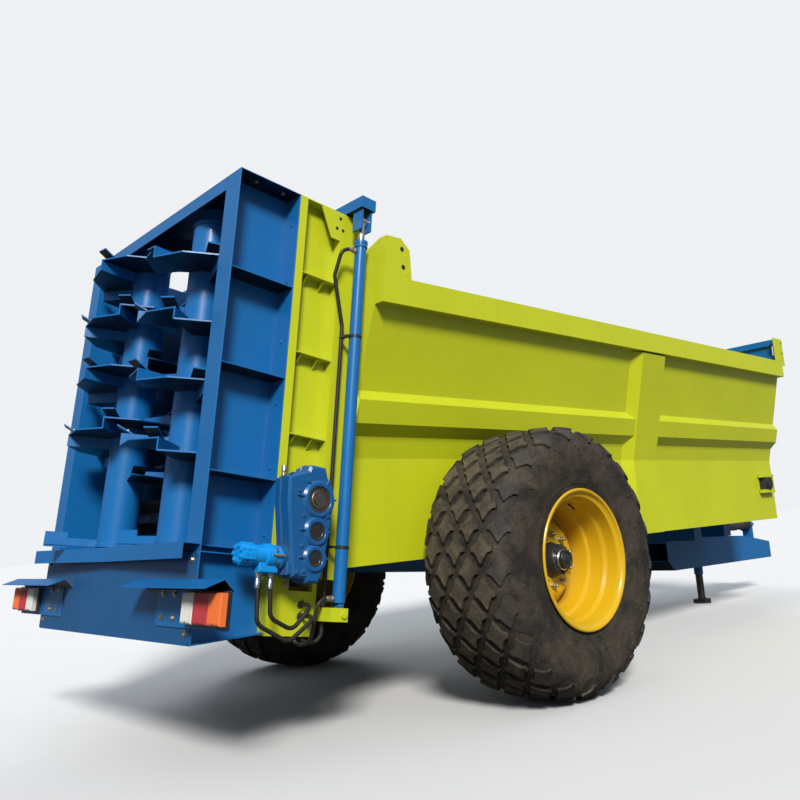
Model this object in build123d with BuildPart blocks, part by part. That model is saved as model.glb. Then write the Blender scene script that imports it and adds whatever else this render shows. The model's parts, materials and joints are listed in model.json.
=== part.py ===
# Fertilizer spreader with two upright beaters, a single axle trailer standing on its jack.
# Millimetres. +X runs forward to the drawbar eye, +Y to the left side, +Z up, the floor is at zero.
# The rear frame, its beaters, the gate and the lift cylinders all lean forward by one angle, so
# they are drawn in a leaning frame: along (forward), across (to the left) and up the posts.
import os
from math import cos, radians, sin, tan

from build123d import *

os.makedirs("parts", exist_ok=True)

# Clearances and plates shared by many pieces
run_gap = 0.3
slide_gap = 5
fit_gap = 0.05
overrun = 40
bite = 2
sheet = 6
plate = 10

# Wheels and axle
axle_x = -1952.99
tyre_radius = 785
tyre_half = 309
tyre_outside_shares = ((0, 1), (0.66, 0.985), (0.92, 0.93), (1, 0.8), (1, 0.67))
tyre_inside_shares = ((0.87, 0.7), (0.55, 0.9))
bead_wide = 38
track_half = 1258
rim_radius = 391
rim_seat_radius = 366
rim_well_radius = 320
rim_wall = 10
rim_outer_half = 299
rim_inner_half = 260
disc_half_place = -50
disc_hole_radius = 110
hub_z = tyre_radius
spindle_radius = 45
axle_tube = 120
axle_half = 1010
hub_radius = 105
hub_long = 230
hub_flange_radius = 190
hub_cap_radius = 54
hub_cap_long = 40
stud_count = 10
stud_circle_radius = 150
stud_radius = 11
stud_long = 34

# Body, lengths from the axle and heights from the floor
body_front = 4424
wall_low_z = 848
wall_fold_z = 1430
frame_half = 930
wall_low_half = frame_half - 46
wall_top_half = frame_half + 152
rail_low_z = 2263
rail_top_z = 2419
rail_half = wall_top_half + 68
rail_width = 84
rib_low_z = 1550
rib_flat_low_z = 1612
rib_flat_top_z = 1738
rib_top_z = 1795
rib_depth = 50
mid_post_reach = 1862
mid_post_flat = 340
mid_post_bevel = 95
mid_post_depth = 55
ear_top_z = 2655
rear_ear_reach = -832
front_ear_reach = body_front + 66
ear_long = 215
ear_corner = 62
ear_hole_radius = 11
ear_hole_inset = 40
ear_hole_pitch = 105
front_post = 90
front_post_half = 520

# Leaning rear frame, heights up the posts, and drops measured down from the top of the frame
lean_angle = 9.0
foot_reach = -2161
foot_z = 592
frame_up = 2370
web_half = frame_half - 62
housing_long = 381
pan_long = 600
lime_end = 820
rear_strip = 100
flange_strip = 90
top_beam_tall = 80
pan_up = 450
tail_up = 413
tail_half = frame_half - 5
tail_corner = 18
shelf_drops = (553, 1054, 1584, 1960)
lime_shelf_drops = (440, 890, 1330)
lime_post_start = 665
corner_plate_start = 520
lime_low_up = 50
lime_seat_up = 330
notch_start = 500
notch_end = 650
notch_low_up = 265
hose_slot_along = 580
hose_slot_ups = (202, 147)
hose_slot_radius = 13
hose_slot_long = 60
hose_slot_lean = 60
manifold_long = 90
manifold_tall = 130
manifold_wide = 50

# Lip, lamps and their hoods
lip_rear = 90
lip_notch = 40
lip_tall = 75
lamp_low_up = 90
lamp_tall = 147
lamp_start_half = 866
lamp_long = 392
lamp_deep = 60
bracket_start_half = 600
bracket_low_up = 76
bracket_top_up = 240
hood_start_half = 470
hood_end_half = 1274
hood_ridge_along = -60
hood_ridge_up = 286
hood_rear_along = -148
hood_rear_up = 246
hood_sheet = 4

# Chassis
beam_half = 400
beam_width = 100
beam_low_z = 862
beam_top_z = 1060
beam_start_reach = -1120
beam_end_reach = body_front - 24
cross_tube = 90
cross_shares = (0.0127, 0.3116, 0.5471, 0.7826, 0.9891)
joist_count = 7

# Floor and conveyor
shaft_along = 515
shaft_up = 698
front_shaft_reach = body_front - 214
chain_radius = 85
chain_wide = 22
chain_thick = 16
chain_half = 470
slat_tall = 22
slat_long = 50
slat_pitch = 410
shaft_radius = 30
sprocket_wide = 40
floor_shaft_gap = 130
joist_tall = 90
joist_wide = 50
tensioner_long = 210
tensioner_tall = 150
tensioner_wide = 45
bearing_radius = 58

# Conveyor gearbox and its hydraulic motor, on the right side
gearbox_inner_half = frame_half + 45
gearbox_thick = 130
gearbox_bore_drops = (0, 155, 284)
gearbox_radii = (133, 98, 92)
gearbox_bore_radii = (66, 46, 41)
gearbox_bore_deep = 14
gearbox_boss = 12
gearbox_top_up = 867
gearbox_low_up = 297
gearbox_block = 58
gearbox_neck_radius = 82
motor_up = 412
motor_half = gearbox_inner_half + 65
motor_radius = 51
motor_start_along = 131
motor_block_along = 262
motor_block_end = 345
motor_block_side = 56
motor_flange_end = 440
motor_port_alongs = (247, 317)
port_radius = 14
port_low_up = 322

# Beaters
beater_along = 170
beater_half = 380
beater_tube_radius = 110
beater_low_up = 470
beater_top_up = 2275
flight_radius = 350
tip_radius = 375
tip_start_radius = 285
tip_wide = 75
tip_rise = 46
flight_low_ups = (835, 865)
flight_first_turns = (283.45, 42.55)
flight_counts = (20, 23)
flight_step = 62.5
flight_plate = 8
flight_turn = 65.45
paddle_radius = 392
paddle_long = 122
paddle_low_up = 462
paddle_tall = 86
arm_low_up = 474
arm_tall = 42
arm_wide = 20
paddle_turns = (115, 25)
beater_shaft_radius = 32
beater_shaft_long = 45
drive_neck_radius = 70
drive_box = 210
drive_box_low_up = 240
drive_box_top_up = 430
line_z = 900
line_radius = 28
line_tube_radius = 40

# Gate and its lift cylinders
gate_along = 745
gate_sheet = 8
gate_low_up = 875
gate_half = web_half - 18
gate_travel = 1100
gate_rib = 40
gate_rib_half = 560
guide_thick = 12
guide_reach = 30
beam_tube_long = 100
beam_tube_tall = 68
beam_end_half = frame_half + 142
lift_half = frame_half + 90
barrel_radius = 40
barrel_bore = 31
rod_radius = 18
piston_long = 60
barrel_low_up = 215
barrel_top_up = 2150
gland_long = 40
gland_radius = 45
lift_eye_up = 160
lift_eye_radius = 28
lift_eye_wide = 56
lift_pin_radius = 16
lug_gap = 8
clevis_wide = 80
clevis_drop = 125
clevis_gap = 36

# Headboard
headboard_inset = 160
headboard_tube = 60
headboard_low_z = 2425

# Drawbar, measured from the axle
bar_half = 150
bar_rear_reach = 3480
bar_heel_reach = 3590
bar_front_reach = 5920
bar_knee_reach = 5250
bar_top_z = 700
bar_knee_z = 650
bar_nose_top_z = 545
bar_nose_low_z = 360
bar_heel_z = 405
bar_heel_top_z = 500
hanger_reaches = (3560, 4200)
hanger_long = 150
eye_reach = 6120
eye_z = 450
eye_bore = 25.2
eye_outer = 60
eye_thick = 34
eye_flange = 150
eye_flange_thick = 20
jack_reach = 4360
jack_tube_radius = 46
jack_bore_radius = 38
jack_leg_radius = 37
jack_pad_radius = 90
jack_pad_thick = 12
jack_tube_low_z = 300
jack_leg_top_z = 440
guard_radius = 50
case_reach = 4452
case_long = 100
case_half = 95
case_top_z = 985
case_corner = 40
guard_end_reach = 5640
stub_radius = 17.4
stub_z = 760
stub_long = 120
journal_radius = 22
stub_bearing_reach = 5680
stub_bearing_long = 60
stub_bearing_radius = 60
stub_seat_wide = 100

# Hoses
hose_radius = 10.5
hose_bend = 55
hose_gap = 1
lift_hose_half = frame_half + 25
lift_port_up = 2120
lift_low_port_up = 236

lean_sin = sin(radians(lean_angle))
lean_cos = cos(radians(lean_angle))
lean_tan = tan(radians(lean_angle))
foot_x = axle_x + foot_reach
lean = Plane(origin=(foot_x, 0, foot_z), x_dir=(lean_cos, 0, -lean_sin), z_dir=(lean_sin, 0, lean_cos))


def lean_spot(along, across, up):
    """Give the place in the row frame of a spot in the leaning frame."""
    return lean.from_local_coords((along, across, up))


def lean_side(across):
    """Give a plane to draw (along, up) on, whose normal points to the right."""
    return Plane(origin=lean_spot(0, across, 0), x_dir=lean.x_dir, z_dir=(0, -1, 0))


def lean_face(along):
    """Give a plane to draw (across, up) on, whose normal points forward."""
    return Plane(origin=lean_spot(along, 0, 0), x_dir=(0, 1, 0), z_dir=lean.x_dir)


def lean_level(up):
    """Give a plane to draw (along, across) on, whose normal points up the posts."""
    return Plane(origin=lean_spot(0, 0, up), x_dir=lean.x_dir, z_dir=lean.z_dir)


def up_at(z, along):
    """Give the height up the posts of a level z at one place along."""
    return (z - foot_z + along * lean_sin) / lean_cos


def x_at(z, along):
    """Give the row x of a leaning plane at the level z."""
    return foot_x + (z - foot_z) * lean_tan + along / lean_cos


def wall_half(z):
    """Give the half width of the body at the outer face of its wall."""
    if z < wall_fold_z:
        return wall_low_half
    rise_share = (z - wall_fold_z) / (rail_low_z - wall_fold_z)
    return wall_low_half + rise_share * (wall_top_half - wall_low_half)


def area(low_x, low_y, high_x, high_y, mode=Mode.ADD):
    """Draw a rectangle between two corners on the sketch in hand."""
    with Locations(((low_x + high_x) / 2, (low_y + high_y) / 2)):
        Rectangle(high_x - low_x, high_y - low_y, mode=mode)


# Right side wall: a folded sheet with a pressed rib, a top rail, a mid post, a rear flange, two ears
wall_outer = [
    (-wall_half(wall_low_z), wall_low_z),
    (-wall_half(wall_fold_z), wall_fold_z),
    (-wall_half(rib_low_z), rib_low_z),
    (-wall_half(rib_flat_low_z) - rib_depth, rib_flat_low_z),
    (-wall_half(rib_flat_top_z) - rib_depth, rib_flat_top_z),
    (-wall_half(rib_top_z), rib_top_z),
    (-wall_half(rail_low_z + sheet), rail_low_z + sheet),
]
wall_inner = [(y + sheet, z) for y, z in reversed(wall_outer)]
wall_start_x = foot_x
wall_end_x = axle_x + body_front
rail_inner = rail_half - rail_width
mid_post_x = axle_x + mid_post_reach
front_shaft_x = axle_x + front_shaft_reach
shaft_spot = lean_spot(shaft_along, 0, shaft_up)
shaft_x = shaft_spot.X
shaft_z = shaft_spot.Z
flange_outline = [
    (-web_half, up_at(wall_low_z, lime_end)),
    (-wall_low_half, up_at(wall_low_z, lime_end)),
    (-wall_low_half, up_at(wall_fold_z, lime_end)),
    (-wall_top_half, up_at(rail_low_z, lime_end)),
    (-rail_half, up_at(rail_low_z + rail_width, lime_end)),
    (-rail_half, up_at(ear_top_z, lime_end)),
    (-rail_half + ear_corner, up_at(ear_top_z, lime_end)),
    (-frame_half, up_at(ear_top_z, lime_end) - ear_corner),
    (-frame_half, frame_up),
    (-web_half, frame_up),
]
rear_ear_front = axle_x + rear_ear_reach
front_ear_front = axle_x + front_ear_reach
ear_low_z = rail_top_z - overrun
rear_ear_outline = [
    (x_at(ear_low_z, lime_end), ear_low_z),
    (x_at(ear_top_z, lime_end), ear_top_z),
    (rear_ear_front - ear_corner, ear_top_z),
    (rear_ear_front, ear_top_z - ear_corner),
    (rear_ear_front, ear_low_z),
]
front_ear_outline = [
    (front_ear_front - ear_long, ear_low_z),
    (front_ear_front - ear_long, ear_top_z),
    (front_ear_front, ear_top_z),
    (front_ear_front, ear_low_z),
]
ear_hole_z = ear_top_z - ear_corner - ear_hole_inset
with BuildPart() as wall_right:
    with BuildSketch(Plane.YZ.offset(wall_start_x)):
        Polygon(*wall_outer, *wall_inner, align=None)
        area(-rail_half, rail_low_z, -rail_inner, rail_top_z)
        area(-rail_half + sheet, rail_low_z + sheet, -rail_inner - sheet, rail_top_z - sheet, Mode.SUBTRACT)
    extrude(amount=wall_end_x - wall_start_x)
    split(bisect_by=lean_face(lime_end), keep=Keep.TOP)
    with BuildSketch(Plane(origin=(mid_post_x, -wall_low_half, wall_low_z), x_dir=(1, 0, 0))) as post_section:
        Polygon(
            (-mid_post_flat / 2 - mid_post_bevel, 0),
            (-mid_post_flat / 2, -mid_post_depth),
            (mid_post_flat / 2, -mid_post_depth),
            (mid_post_flat / 2 + mid_post_bevel, 0),
            (mid_post_flat / 2 + mid_post_bevel - 2 * sheet, 0),
            (mid_post_flat / 2 - sheet, sheet - mid_post_depth),
            (sheet - mid_post_flat / 2, sheet - mid_post_depth),
            (2 * sheet - mid_post_flat / 2 - mid_post_bevel, 0),
            align=None,
        )
    with BuildLine() as post_path:
        Polyline(
            (mid_post_x, -wall_low_half, wall_low_z),
            (mid_post_x, -wall_low_half, wall_fold_z),
            (mid_post_x, -wall_top_half, rail_low_z),
        )
    sweep(transition=Transition.RIGHT)
    with BuildSketch(lean_face(lime_end)):
        Polygon(*flange_outline, align=None)
    extrude(amount=sheet)
    with BuildSketch(Plane.XZ.offset(wall_low_half - sheet - bite)):
        with Locations((front_shaft_x, shaft_z)):
            Circle(shaft_radius + slide_gap)
    extrude(amount=sheet + 2 * bite, mode=Mode.SUBTRACT)
    with BuildSketch(Plane.XZ.offset(rail_half - sheet)):
        Polygon(*rear_ear_outline, align=None)
        Polygon(*front_ear_outline, align=None)
        with Locations((rear_ear_front - ear_hole_inset, ear_hole_z), (front_ear_front - ear_hole_inset, ear_hole_z)):
            with Locations((0, 0), (0, -ear_hole_pitch)):
                Circle(ear_hole_radius, mode=Mode.SUBTRACT)
    extrude(amount=sheet)
wall_right.part.label = "wall_right"
export_step(wall_right.part, "parts/wall_right.step")

with BuildPart() as wall_left:
    mirror(wall_right.part, about=Plane.XZ)
wall_left.part.label = "wall_left"
export_step(wall_left.part, "parts/wall_left.step")

# Front wall: a sheet that fills the section between the walls, with stiffening posts ahead of it
floor_top_z = shaft_z + chain_radius - chain_thick / 2 - run_gap
front_low_half = wall_low_half - sheet - run_gap
front_top_half = wall_top_half - sheet - run_gap
front_rail_half = rail_inner - run_gap
front_right_edge = [
    (-front_low_half, floor_top_z),
    (-front_low_half, wall_fold_z),
    (-front_top_half, rail_low_z),
    (-front_rail_half, rail_low_z),
    (-front_rail_half, rail_top_z),
]
with BuildPart() as front_wall:
    with BuildSketch(Plane.YZ.offset(wall_end_x - sheet)):
        Polygon(*front_right_edge, *[(-y, z) for y, z in reversed(front_right_edge)], align=None)
    extrude(amount=sheet)
    with BuildSketch(Plane.XY.offset(beam_top_z)):
        with Locations((wall_end_x, -front_post_half), (wall_end_x, 0), (wall_end_x, front_post_half)):
            Rectangle(sheet * 2 + front_post / 2, front_post, align=(Align.MIN, Align.CENTER))
            Rectangle(front_post / 2, front_post - 2 * sheet, align=(Align.MIN, Align.CENTER), mode=Mode.SUBTRACT)
    extrude(amount=rail_top_z - beam_top_z)
front_wall.part.label = "front_wall"
export_step(front_wall.part, "parts/front_wall.step")

# Headboard: a light frame of square tube between the two front ears
headboard_x = front_ear_front - headboard_inset
headboard_half = rail_half - sheet - run_gap
headboard_top_z = ear_top_z - sheet
with BuildPart() as headboard:
    with BuildSketch(Plane.YZ.offset(headboard_x)):
        area(-headboard_half, headboard_low_z, headboard_half, headboard_top_z)
        with GridLocations(headboard_half, 0, 2, 1):
            with Locations((0, (headboard_low_z + headboard_top_z) / 2)):
                Rectangle(
                    headboard_half - headboard_tube,
                    headboard_top_z - headboard_low_z - 2 * headboard_tube,
                    mode=Mode.SUBTRACT,
                )
    extrude(amount=headboard_tube)
headboard.part.label = "headboard"
export_step(headboard.part, "parts/headboard.step")

# Chassis beams: two long square tubes under the conveyor
beam_start_x = axle_x + beam_start_reach
beam_end_x = axle_x + beam_end_reach
beam_inner_half = beam_half - beam_width / 2
beam_outer_half = beam_half + beam_width / 2
cross_half = wall_low_half - sheet - run_gap
cross_low_z = beam_top_z - cross_tube
with BuildPart() as chassis_beams:
    with BuildSketch(Plane.YZ.offset(beam_start_x)):
        area(beam_inner_half, beam_low_z, beam_outer_half, beam_top_z)
        area(beam_inner_half + sheet, beam_low_z + sheet, beam_outer_half - sheet, beam_top_z - sheet, Mode.SUBTRACT)
        mirror(about=Plane.YZ)
    extrude(amount=beam_end_x - beam_start_x)
chassis_beams.part.label = "chassis_beams"
export_step(chassis_beams.part, "parts/chassis_beams.step")

# Cross tubes between the beams and out to the walls
with BuildPart() as cross_tubes:
    with BuildSketch(Plane.XY.offset(cross_low_z)):
        for share in cross_shares:
            cross_start = beam_start_x + share * (beam_end_x - beam_start_x) - cross_tube / 2
            cross_end = cross_start + cross_tube
            area(cross_start, -cross_half, cross_end, -beam_outer_half - run_gap)
            area(cross_start, run_gap - beam_inner_half, cross_end, beam_inner_half - run_gap)
            area(cross_start, beam_outer_half + run_gap, cross_end, cross_half)
    extrude(amount=cross_tube)
cross_tubes.part.label = "cross_tubes"
export_step(cross_tubes.part, "parts/cross_tubes.step")

# Hangers: two cross boxes that carry the drawbar under the beams
with BuildPart() as bar_hangers:
    with BuildSketch(Plane.XY.offset(bar_top_z)):
        for reach in hanger_reaches:
            with Locations((axle_x + reach, 0)):
                Rectangle(hanger_long, 2 * beam_outer_half)
    extrude(amount=beam_low_z - run_gap - bar_top_z)
bar_hangers.part.label = "bar_hangers"
export_step(bar_hangers.part, "parts/bar_hangers.step")

# Axle: a square tube on pads under the beams with a round spindle at each end
with BuildPart() as axle:
    with BuildSketch(Plane.XZ.offset(-axle_half)):
        with Locations((axle_x, hub_z)):
            Rectangle(axle_tube, axle_tube)
    extrude(amount=2 * axle_half)
    with BuildSketch(Plane.XZ.offset(-track_half)):
        with Locations((axle_x, hub_z)):
            Circle(spindle_radius)
    extrude(amount=2 * track_half)
    with BuildSketch(Plane.XY.offset(hub_z)):
        with Locations((axle_x, -beam_half), (axle_x, beam_half)):
            Rectangle(2 * axle_tube, beam_width)
    extrude(amount=beam_low_z - run_gap - hub_z)
axle.part.label = "axle"
export_step(axle.part, "parts/axle.step")

# Floor: one sheet on joists that run from wall to wall between the two runs of the conveyor
floor_start_x = shaft_x + floor_shaft_gap
floor_wide_x = x_at(floor_top_z, lime_end + plate)
floor_end_x = axle_x + front_shaft_reach - floor_shaft_gap
floor_rear_half = web_half - sheet - run_gap
joist_gap = (floor_end_x - floor_start_x) / (joist_count + 1)
with BuildPart() as floor:
    with BuildSketch(Plane.XY.offset(floor_top_z - sheet)):
        area(floor_start_x, -floor_rear_half, floor_wide_x + bite, floor_rear_half)
        area(floor_wide_x, -cross_half, floor_end_x, cross_half)
    extrude(amount=sheet)
    with BuildSketch(Plane.XY.offset(floor_top_z - sheet - joist_tall)):
        for index in range(joist_count):
            with Locations((floor_start_x + joist_gap * (index + 1), 0)):
                Rectangle(joist_wide, 2 * cross_half)
    extrude(amount=joist_tall)
floor.part.label = "floor"
export_step(floor.part, "parts/floor.step")

# Conveyor: two endless chains with slats, drawn as one fixed loop
run_long = front_shaft_x - shaft_x
slat_reach = chain_radius + chain_thick / 2 + slat_tall / 2
slat_half = web_half - sheet - 5 * slide_gap
slat_count = int(run_long / slat_pitch)
with BuildPart() as conveyor:
    for side in (-chain_half, chain_half):
        with BuildSketch(Plane.XZ.offset(side - chain_wide / 2)):
            with Locations(((shaft_x + front_shaft_x) / 2, shaft_z)):
                SlotOverall(run_long + 2 * chain_radius + chain_thick, 2 * chain_radius + chain_thick)
                SlotOverall(run_long + 2 * chain_radius - chain_thick, 2 * chain_radius - chain_thick, mode=Mode.SUBTRACT)
        extrude(amount=chain_wide)
    with BuildSketch(Plane.XZ.offset(-slat_half)):
        for index in range(slat_count):
            slat_x = shaft_x + (index + 1) * slat_pitch
            with Locations((slat_x, shaft_z + slat_reach), (slat_x - slat_pitch / 2, shaft_z - slat_reach)):
                Rectangle(slat_long, slat_tall + bite)
        with Locations((shaft_x, shaft_z)):
            with PolarLocations(slat_reach, 3, 90, 180):
                Rectangle(slat_tall + bite, slat_long)
    extrude(amount=2 * slat_half)
conveyor.part.label = "conveyor"
export_step(conveyor.part, "parts/conveyor.step")

# Conveyor shafts with their sprockets
sprocket_radius = chain_radius - chain_thick / 2 - run_gap
tensioner_inner_half = wall_low_half + run_gap
tensioner_outer_half = tensioner_inner_half + tensioner_wide
with BuildPart() as conveyor_shafts:
    with BuildSketch(Plane.XZ.offset(-web_half - tensioner_wide)):
        with Locations((shaft_x, shaft_z)):
            Circle(shaft_radius)
    extrude(amount=web_half + tensioner_wide + gearbox_inner_half)
    with BuildSketch(Plane.XZ.offset(-tensioner_outer_half)):
        with Locations((front_shaft_x, shaft_z)):
            Circle(shaft_radius)
    extrude(amount=2 * tensioner_outer_half)
    for side in (-chain_half, chain_half):
        with BuildSketch(Plane.XZ.offset(side - sprocket_wide / 2)):
            with Locations((shaft_x, shaft_z), (front_shaft_x, shaft_z)):
                RegularPolygon(sprocket_radius, 8)
        extrude(amount=sprocket_wide)
conveyor_shafts.part.label = "conveyor_shafts"
export_step(conveyor_shafts.part, "parts/conveyor_shafts.step")

# Conveyor bearings: a plate and a round housing at each end of the front shaft, one at the rear left
with BuildPart() as conveyor_bearings:
    with BuildSketch(Plane.XZ.offset(tensioner_inner_half)):
        with Locations((front_shaft_x, shaft_z)):
            Rectangle(tensioner_long, tensioner_tall)
            Circle(shaft_radius + run_gap, mode=Mode.SUBTRACT)
    extrude(amount=plate)
    with BuildSketch(Plane.XZ.offset(tensioner_inner_half)):
        with Locations((front_shaft_x, shaft_z)):
            Circle(bearing_radius)
            Circle(shaft_radius + run_gap, mode=Mode.SUBTRACT)
    extrude(amount=tensioner_wide)
    mirror(about=Plane.XZ)
    with BuildSketch(Plane.XZ.offset(-web_half - tensioner_wide)):
        with Locations((shaft_x, shaft_z)):
            Circle(gearbox_neck_radius)
            Circle(shaft_radius + run_gap, mode=Mode.SUBTRACT)
    extrude(amount=tensioner_wide + sheet)
conveyor_bearings.part.label = "conveyor_bearings"
export_step(conveyor_bearings.part, "parts/conveyor_bearings.step")

# Right rear frame in lime: web, rear flange, front post, shelves, corner plate and lower bracket
shelf_half = frame_half - slide_gap
lime_front = lime_end - run_gap
web_outline = [
    (housing_long + run_gap, up_at(wall_low_z, housing_long)),
    (lime_front, up_at(wall_low_z, lime_front)),
    (lime_front, frame_up),
    (housing_long + run_gap, frame_up),
]
lime_start = housing_long + run_gap
corner_outline = [
    (corner_plate_start, frame_up),
    (lime_post_start + plate, frame_up),
    (lime_post_start + plate, frame_up - corner_plate_start / 3),
    (lime_post_start - ear_corner, frame_up - corner_plate_start / 3),
]
gate_rear = gate_along - gate_sheet / 2
lug_start = lime_post_start + sheet
lug_end = gate_along + lift_eye_radius
lug_low_up = lift_eye_up - lift_eye_radius - slide_gap
lug_top_up = lift_eye_up + lift_eye_radius + slide_gap
lug_inner_half = lift_half - lift_eye_wide / 2 - lug_gap
lug_outer_half = lift_half + lift_eye_wide / 2 + lug_gap
with BuildPart() as rear_frame_right:
    with BuildSketch(lean_side(-web_half + sheet)):
        Polygon(*web_outline, align=None)
        with Locations((shaft_along, shaft_up)):
            Circle(gearbox_neck_radius + run_gap, mode=Mode.SUBTRACT)
    extrude(amount=sheet)
    with BuildSketch(lean_level(lime_low_up)):
        area(lime_start, -frame_half, lime_start + sheet, -web_half)
        area(lime_post_start, -frame_half, lime_post_start + sheet, -web_half)
    extrude(amount=frame_up - lime_low_up)
    with BuildSketch(lean_level(lime_seat_up)):
        area(lime_post_start, -frame_half, lime_front, -frame_half + sheet)
    extrude(amount=frame_up - lime_seat_up)
    with BuildSketch(lean_level(gate_low_up)):
        for guide_along in (gate_rear - slide_gap - guide_thick, gate_rear + gate_sheet + slide_gap):
            area(guide_along, -web_half, guide_along + guide_thick, -web_half + sheet + guide_reach)
    extrude(amount=frame_up - gate_low_up)
    for drop in lime_shelf_drops:
        with BuildSketch(lean_level(frame_up - drop)):
            area(lime_start, -shelf_half, lime_post_start + bite, -web_half)
        extrude(amount=sheet)
    with BuildSketch(lean_level(frame_up - sheet)):
        area(lime_start, -frame_half, lime_front, -web_half + sheet)
    extrude(amount=sheet)
    with BuildSketch(lean_side(-frame_half + sheet)):
        Polygon(*corner_outline, align=None)
        area(lime_start, lime_low_up, lime_post_start + sheet, lime_seat_up)
        area(notch_start, notch_low_up, notch_end - sheet, lime_seat_up + overrun, Mode.SUBTRACT)
        for slot_up in hose_slot_ups:
            with Locations((hose_slot_along, slot_up)):
                SlotOverall(hose_slot_long, 2 * hose_slot_radius, rotation=hose_slot_lean, mode=Mode.SUBTRACT)
    extrude(amount=sheet)
    with BuildSketch(lean_level(lime_seat_up)):
        area(lime_start, -frame_half, notch_start, -web_half + sheet)
    extrude(amount=sheet)
    with BuildSketch(lean_level(lug_low_up)):
        area(lime_post_start, -lug_outer_half - plate, lug_start, -frame_half)
        area(lime_post_start, -lug_inner_half, lug_end, -lug_inner_half + plate)
        area(lime_post_start, -lug_outer_half - plate, lug_end, -lug_outer_half)
    extrude(amount=lug_top_up - lug_low_up)
    with BuildSketch(lean_side(-lug_inner_half + plate)):
        with Locations((gate_along, lift_eye_up)):
            Circle(lift_pin_radius)
    extrude(amount=lug_outer_half - lug_inner_half + 2 * plate + plate)
    with BuildSketch(lean_side(-frame_half + sheet + manifold_wide)):
        with Locations((hose_slot_along, (hose_slot_ups[0] + hose_slot_ups[1]) / 2)):
            Rectangle(manifold_long, manifold_tall)
    extrude(amount=manifold_wide)
rear_frame_right.part.label = "rear_frame_right"
export_step(rear_frame_right.part, "parts/rear_frame_right.step")

with BuildPart() as rear_frame_left:
    mirror(rear_frame_right.part, about=Plane.XZ)
rear_frame_left.part.label = "rear_frame_left"
export_step(rear_frame_left.part, "parts/rear_frame_left.step")

# Right side of the beater housing: web, rear strip, shelves, flange strip and bottom return
side_low_front_up = up_at(foot_z, housing_long)
side_outline = [
    (0, 0),
    (housing_long, side_low_front_up),
    (housing_long, frame_up - top_beam_tall),
    (0, frame_up - top_beam_tall),
]
with BuildPart() as housing_right:
    with BuildSketch(lean_side(-web_half + sheet)):
        Polygon(*side_outline, align=None)
    extrude(amount=sheet)
    with BuildSketch(lean_side(-web_half)):
        area(housing_long - flange_strip, lime_seat_up, housing_long, frame_up - top_beam_tall)
    extrude(amount=sheet)
    with BuildSketch(lean_level(0)):
        area(0, -frame_half, sheet, -frame_half + rear_strip)
    extrude(amount=frame_up - top_beam_tall)
    for drop in shelf_drops:
        with BuildSketch(lean_level(frame_up - drop)):
            area(0, -shelf_half, housing_long, -web_half)
        extrude(amount=sheet)
    with BuildSketch(Plane.XY.offset(foot_z)):
        area(foot_x + sheet, -shelf_half, x_at(foot_z, housing_long) - sheet, -web_half)
    extrude(amount=sheet)
housing_right.part.label = "housing_right"
export_step(housing_right.part, "parts/housing_right.step")

with BuildPart() as housing_left:
    mirror(housing_right.part, about=Plane.XZ)
housing_left.part.label = "housing_left"
export_step(housing_left.part, "parts/housing_left.step")

# Top of the housing: the rear beam, the roof sheet and the upper beater bearings
with BuildPart() as housing_top:
    with BuildSketch(lean_level(frame_up - top_beam_tall)):
        area(0, -frame_half, sheet, frame_half)
        area(0, -frame_half, housing_long, -web_half + sheet)
        area(0, web_half - sheet, housing_long, frame_half)
        area(sheet, -frame_half + sheet, housing_long - sheet, -web_half, Mode.SUBTRACT)
        area(sheet, web_half, housing_long - sheet, frame_half - sheet, Mode.SUBTRACT)
    extrude(amount=top_beam_tall)
    with BuildSketch(lean_level(frame_up - sheet)):
        area(0, -frame_half, housing_long, frame_half)
    extrude(amount=sheet)
    with BuildSketch(lean_level(beater_top_up + slide_gap)):
        with Locations((beater_along, -beater_half), (beater_along, beater_half)):
            Circle(drive_neck_radius)
            Circle(beater_shaft_radius + fit_gap, mode=Mode.SUBTRACT)
    extrude(amount=frame_up - sheet - beater_top_up - slide_gap + bite)
housing_top.part.label = "housing_top"
export_step(housing_top.part, "parts/housing_top.step")

# Beater pan: the floor under the beaters, its notched lip behind and a baffle below the conveyor
pan_half = web_half - sheet - run_gap
pan_strip_half = frame_half - rear_strip - run_gap
pan_outline = [
    (-lip_rear, -frame_half),
    (-run_gap, -frame_half),
    (-run_gap, -pan_strip_half),
    (sheet + run_gap, -pan_strip_half),
    (sheet + run_gap, -pan_half),
    (pan_long, -pan_half),
    (pan_long, pan_half),
    (sheet + run_gap, pan_half),
    (sheet + run_gap, pan_strip_half),
    (-run_gap, pan_strip_half),
    (-run_gap, frame_half),
    (-lip_rear, frame_half),
    (lip_notch - lip_rear, 0),
]
lip_outline = [
    (-lip_rear, -frame_half),
    (-lip_rear + sheet, -frame_half),
    (lip_notch - lip_rear + sheet, 0),
    (-lip_rear + sheet, frame_half),
    (-lip_rear, frame_half),
    (lip_notch - lip_rear, 0),
]
baffle_top_up = shaft_up - chain_radius - chain_thick - slat_tall - 2 * slide_gap
neck_hole_radius = drive_neck_radius + run_gap
with BuildPart() as beater_pan:
    with BuildSketch(lean_level(pan_up - sheet)):
        Polygon(*pan_outline, align=None)
        with Locations((beater_along, -beater_half), (beater_along, beater_half)):
            Circle(neck_hole_radius, mode=Mode.SUBTRACT)
    extrude(amount=sheet)
    with BuildSketch(lean_level(pan_up - lip_tall)):
        Polygon(*lip_outline, align=None)
    extrude(amount=lip_tall)
    with BuildSketch(lean_level(pan_up - sheet)):
        area(pan_long - sheet, -pan_half, pan_long, pan_half)
    extrude(amount=baffle_top_up - pan_up + sheet)
beater_pan.part.label = "beater_pan"
export_step(beater_pan.part, "parts/beater_pan.step")

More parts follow.
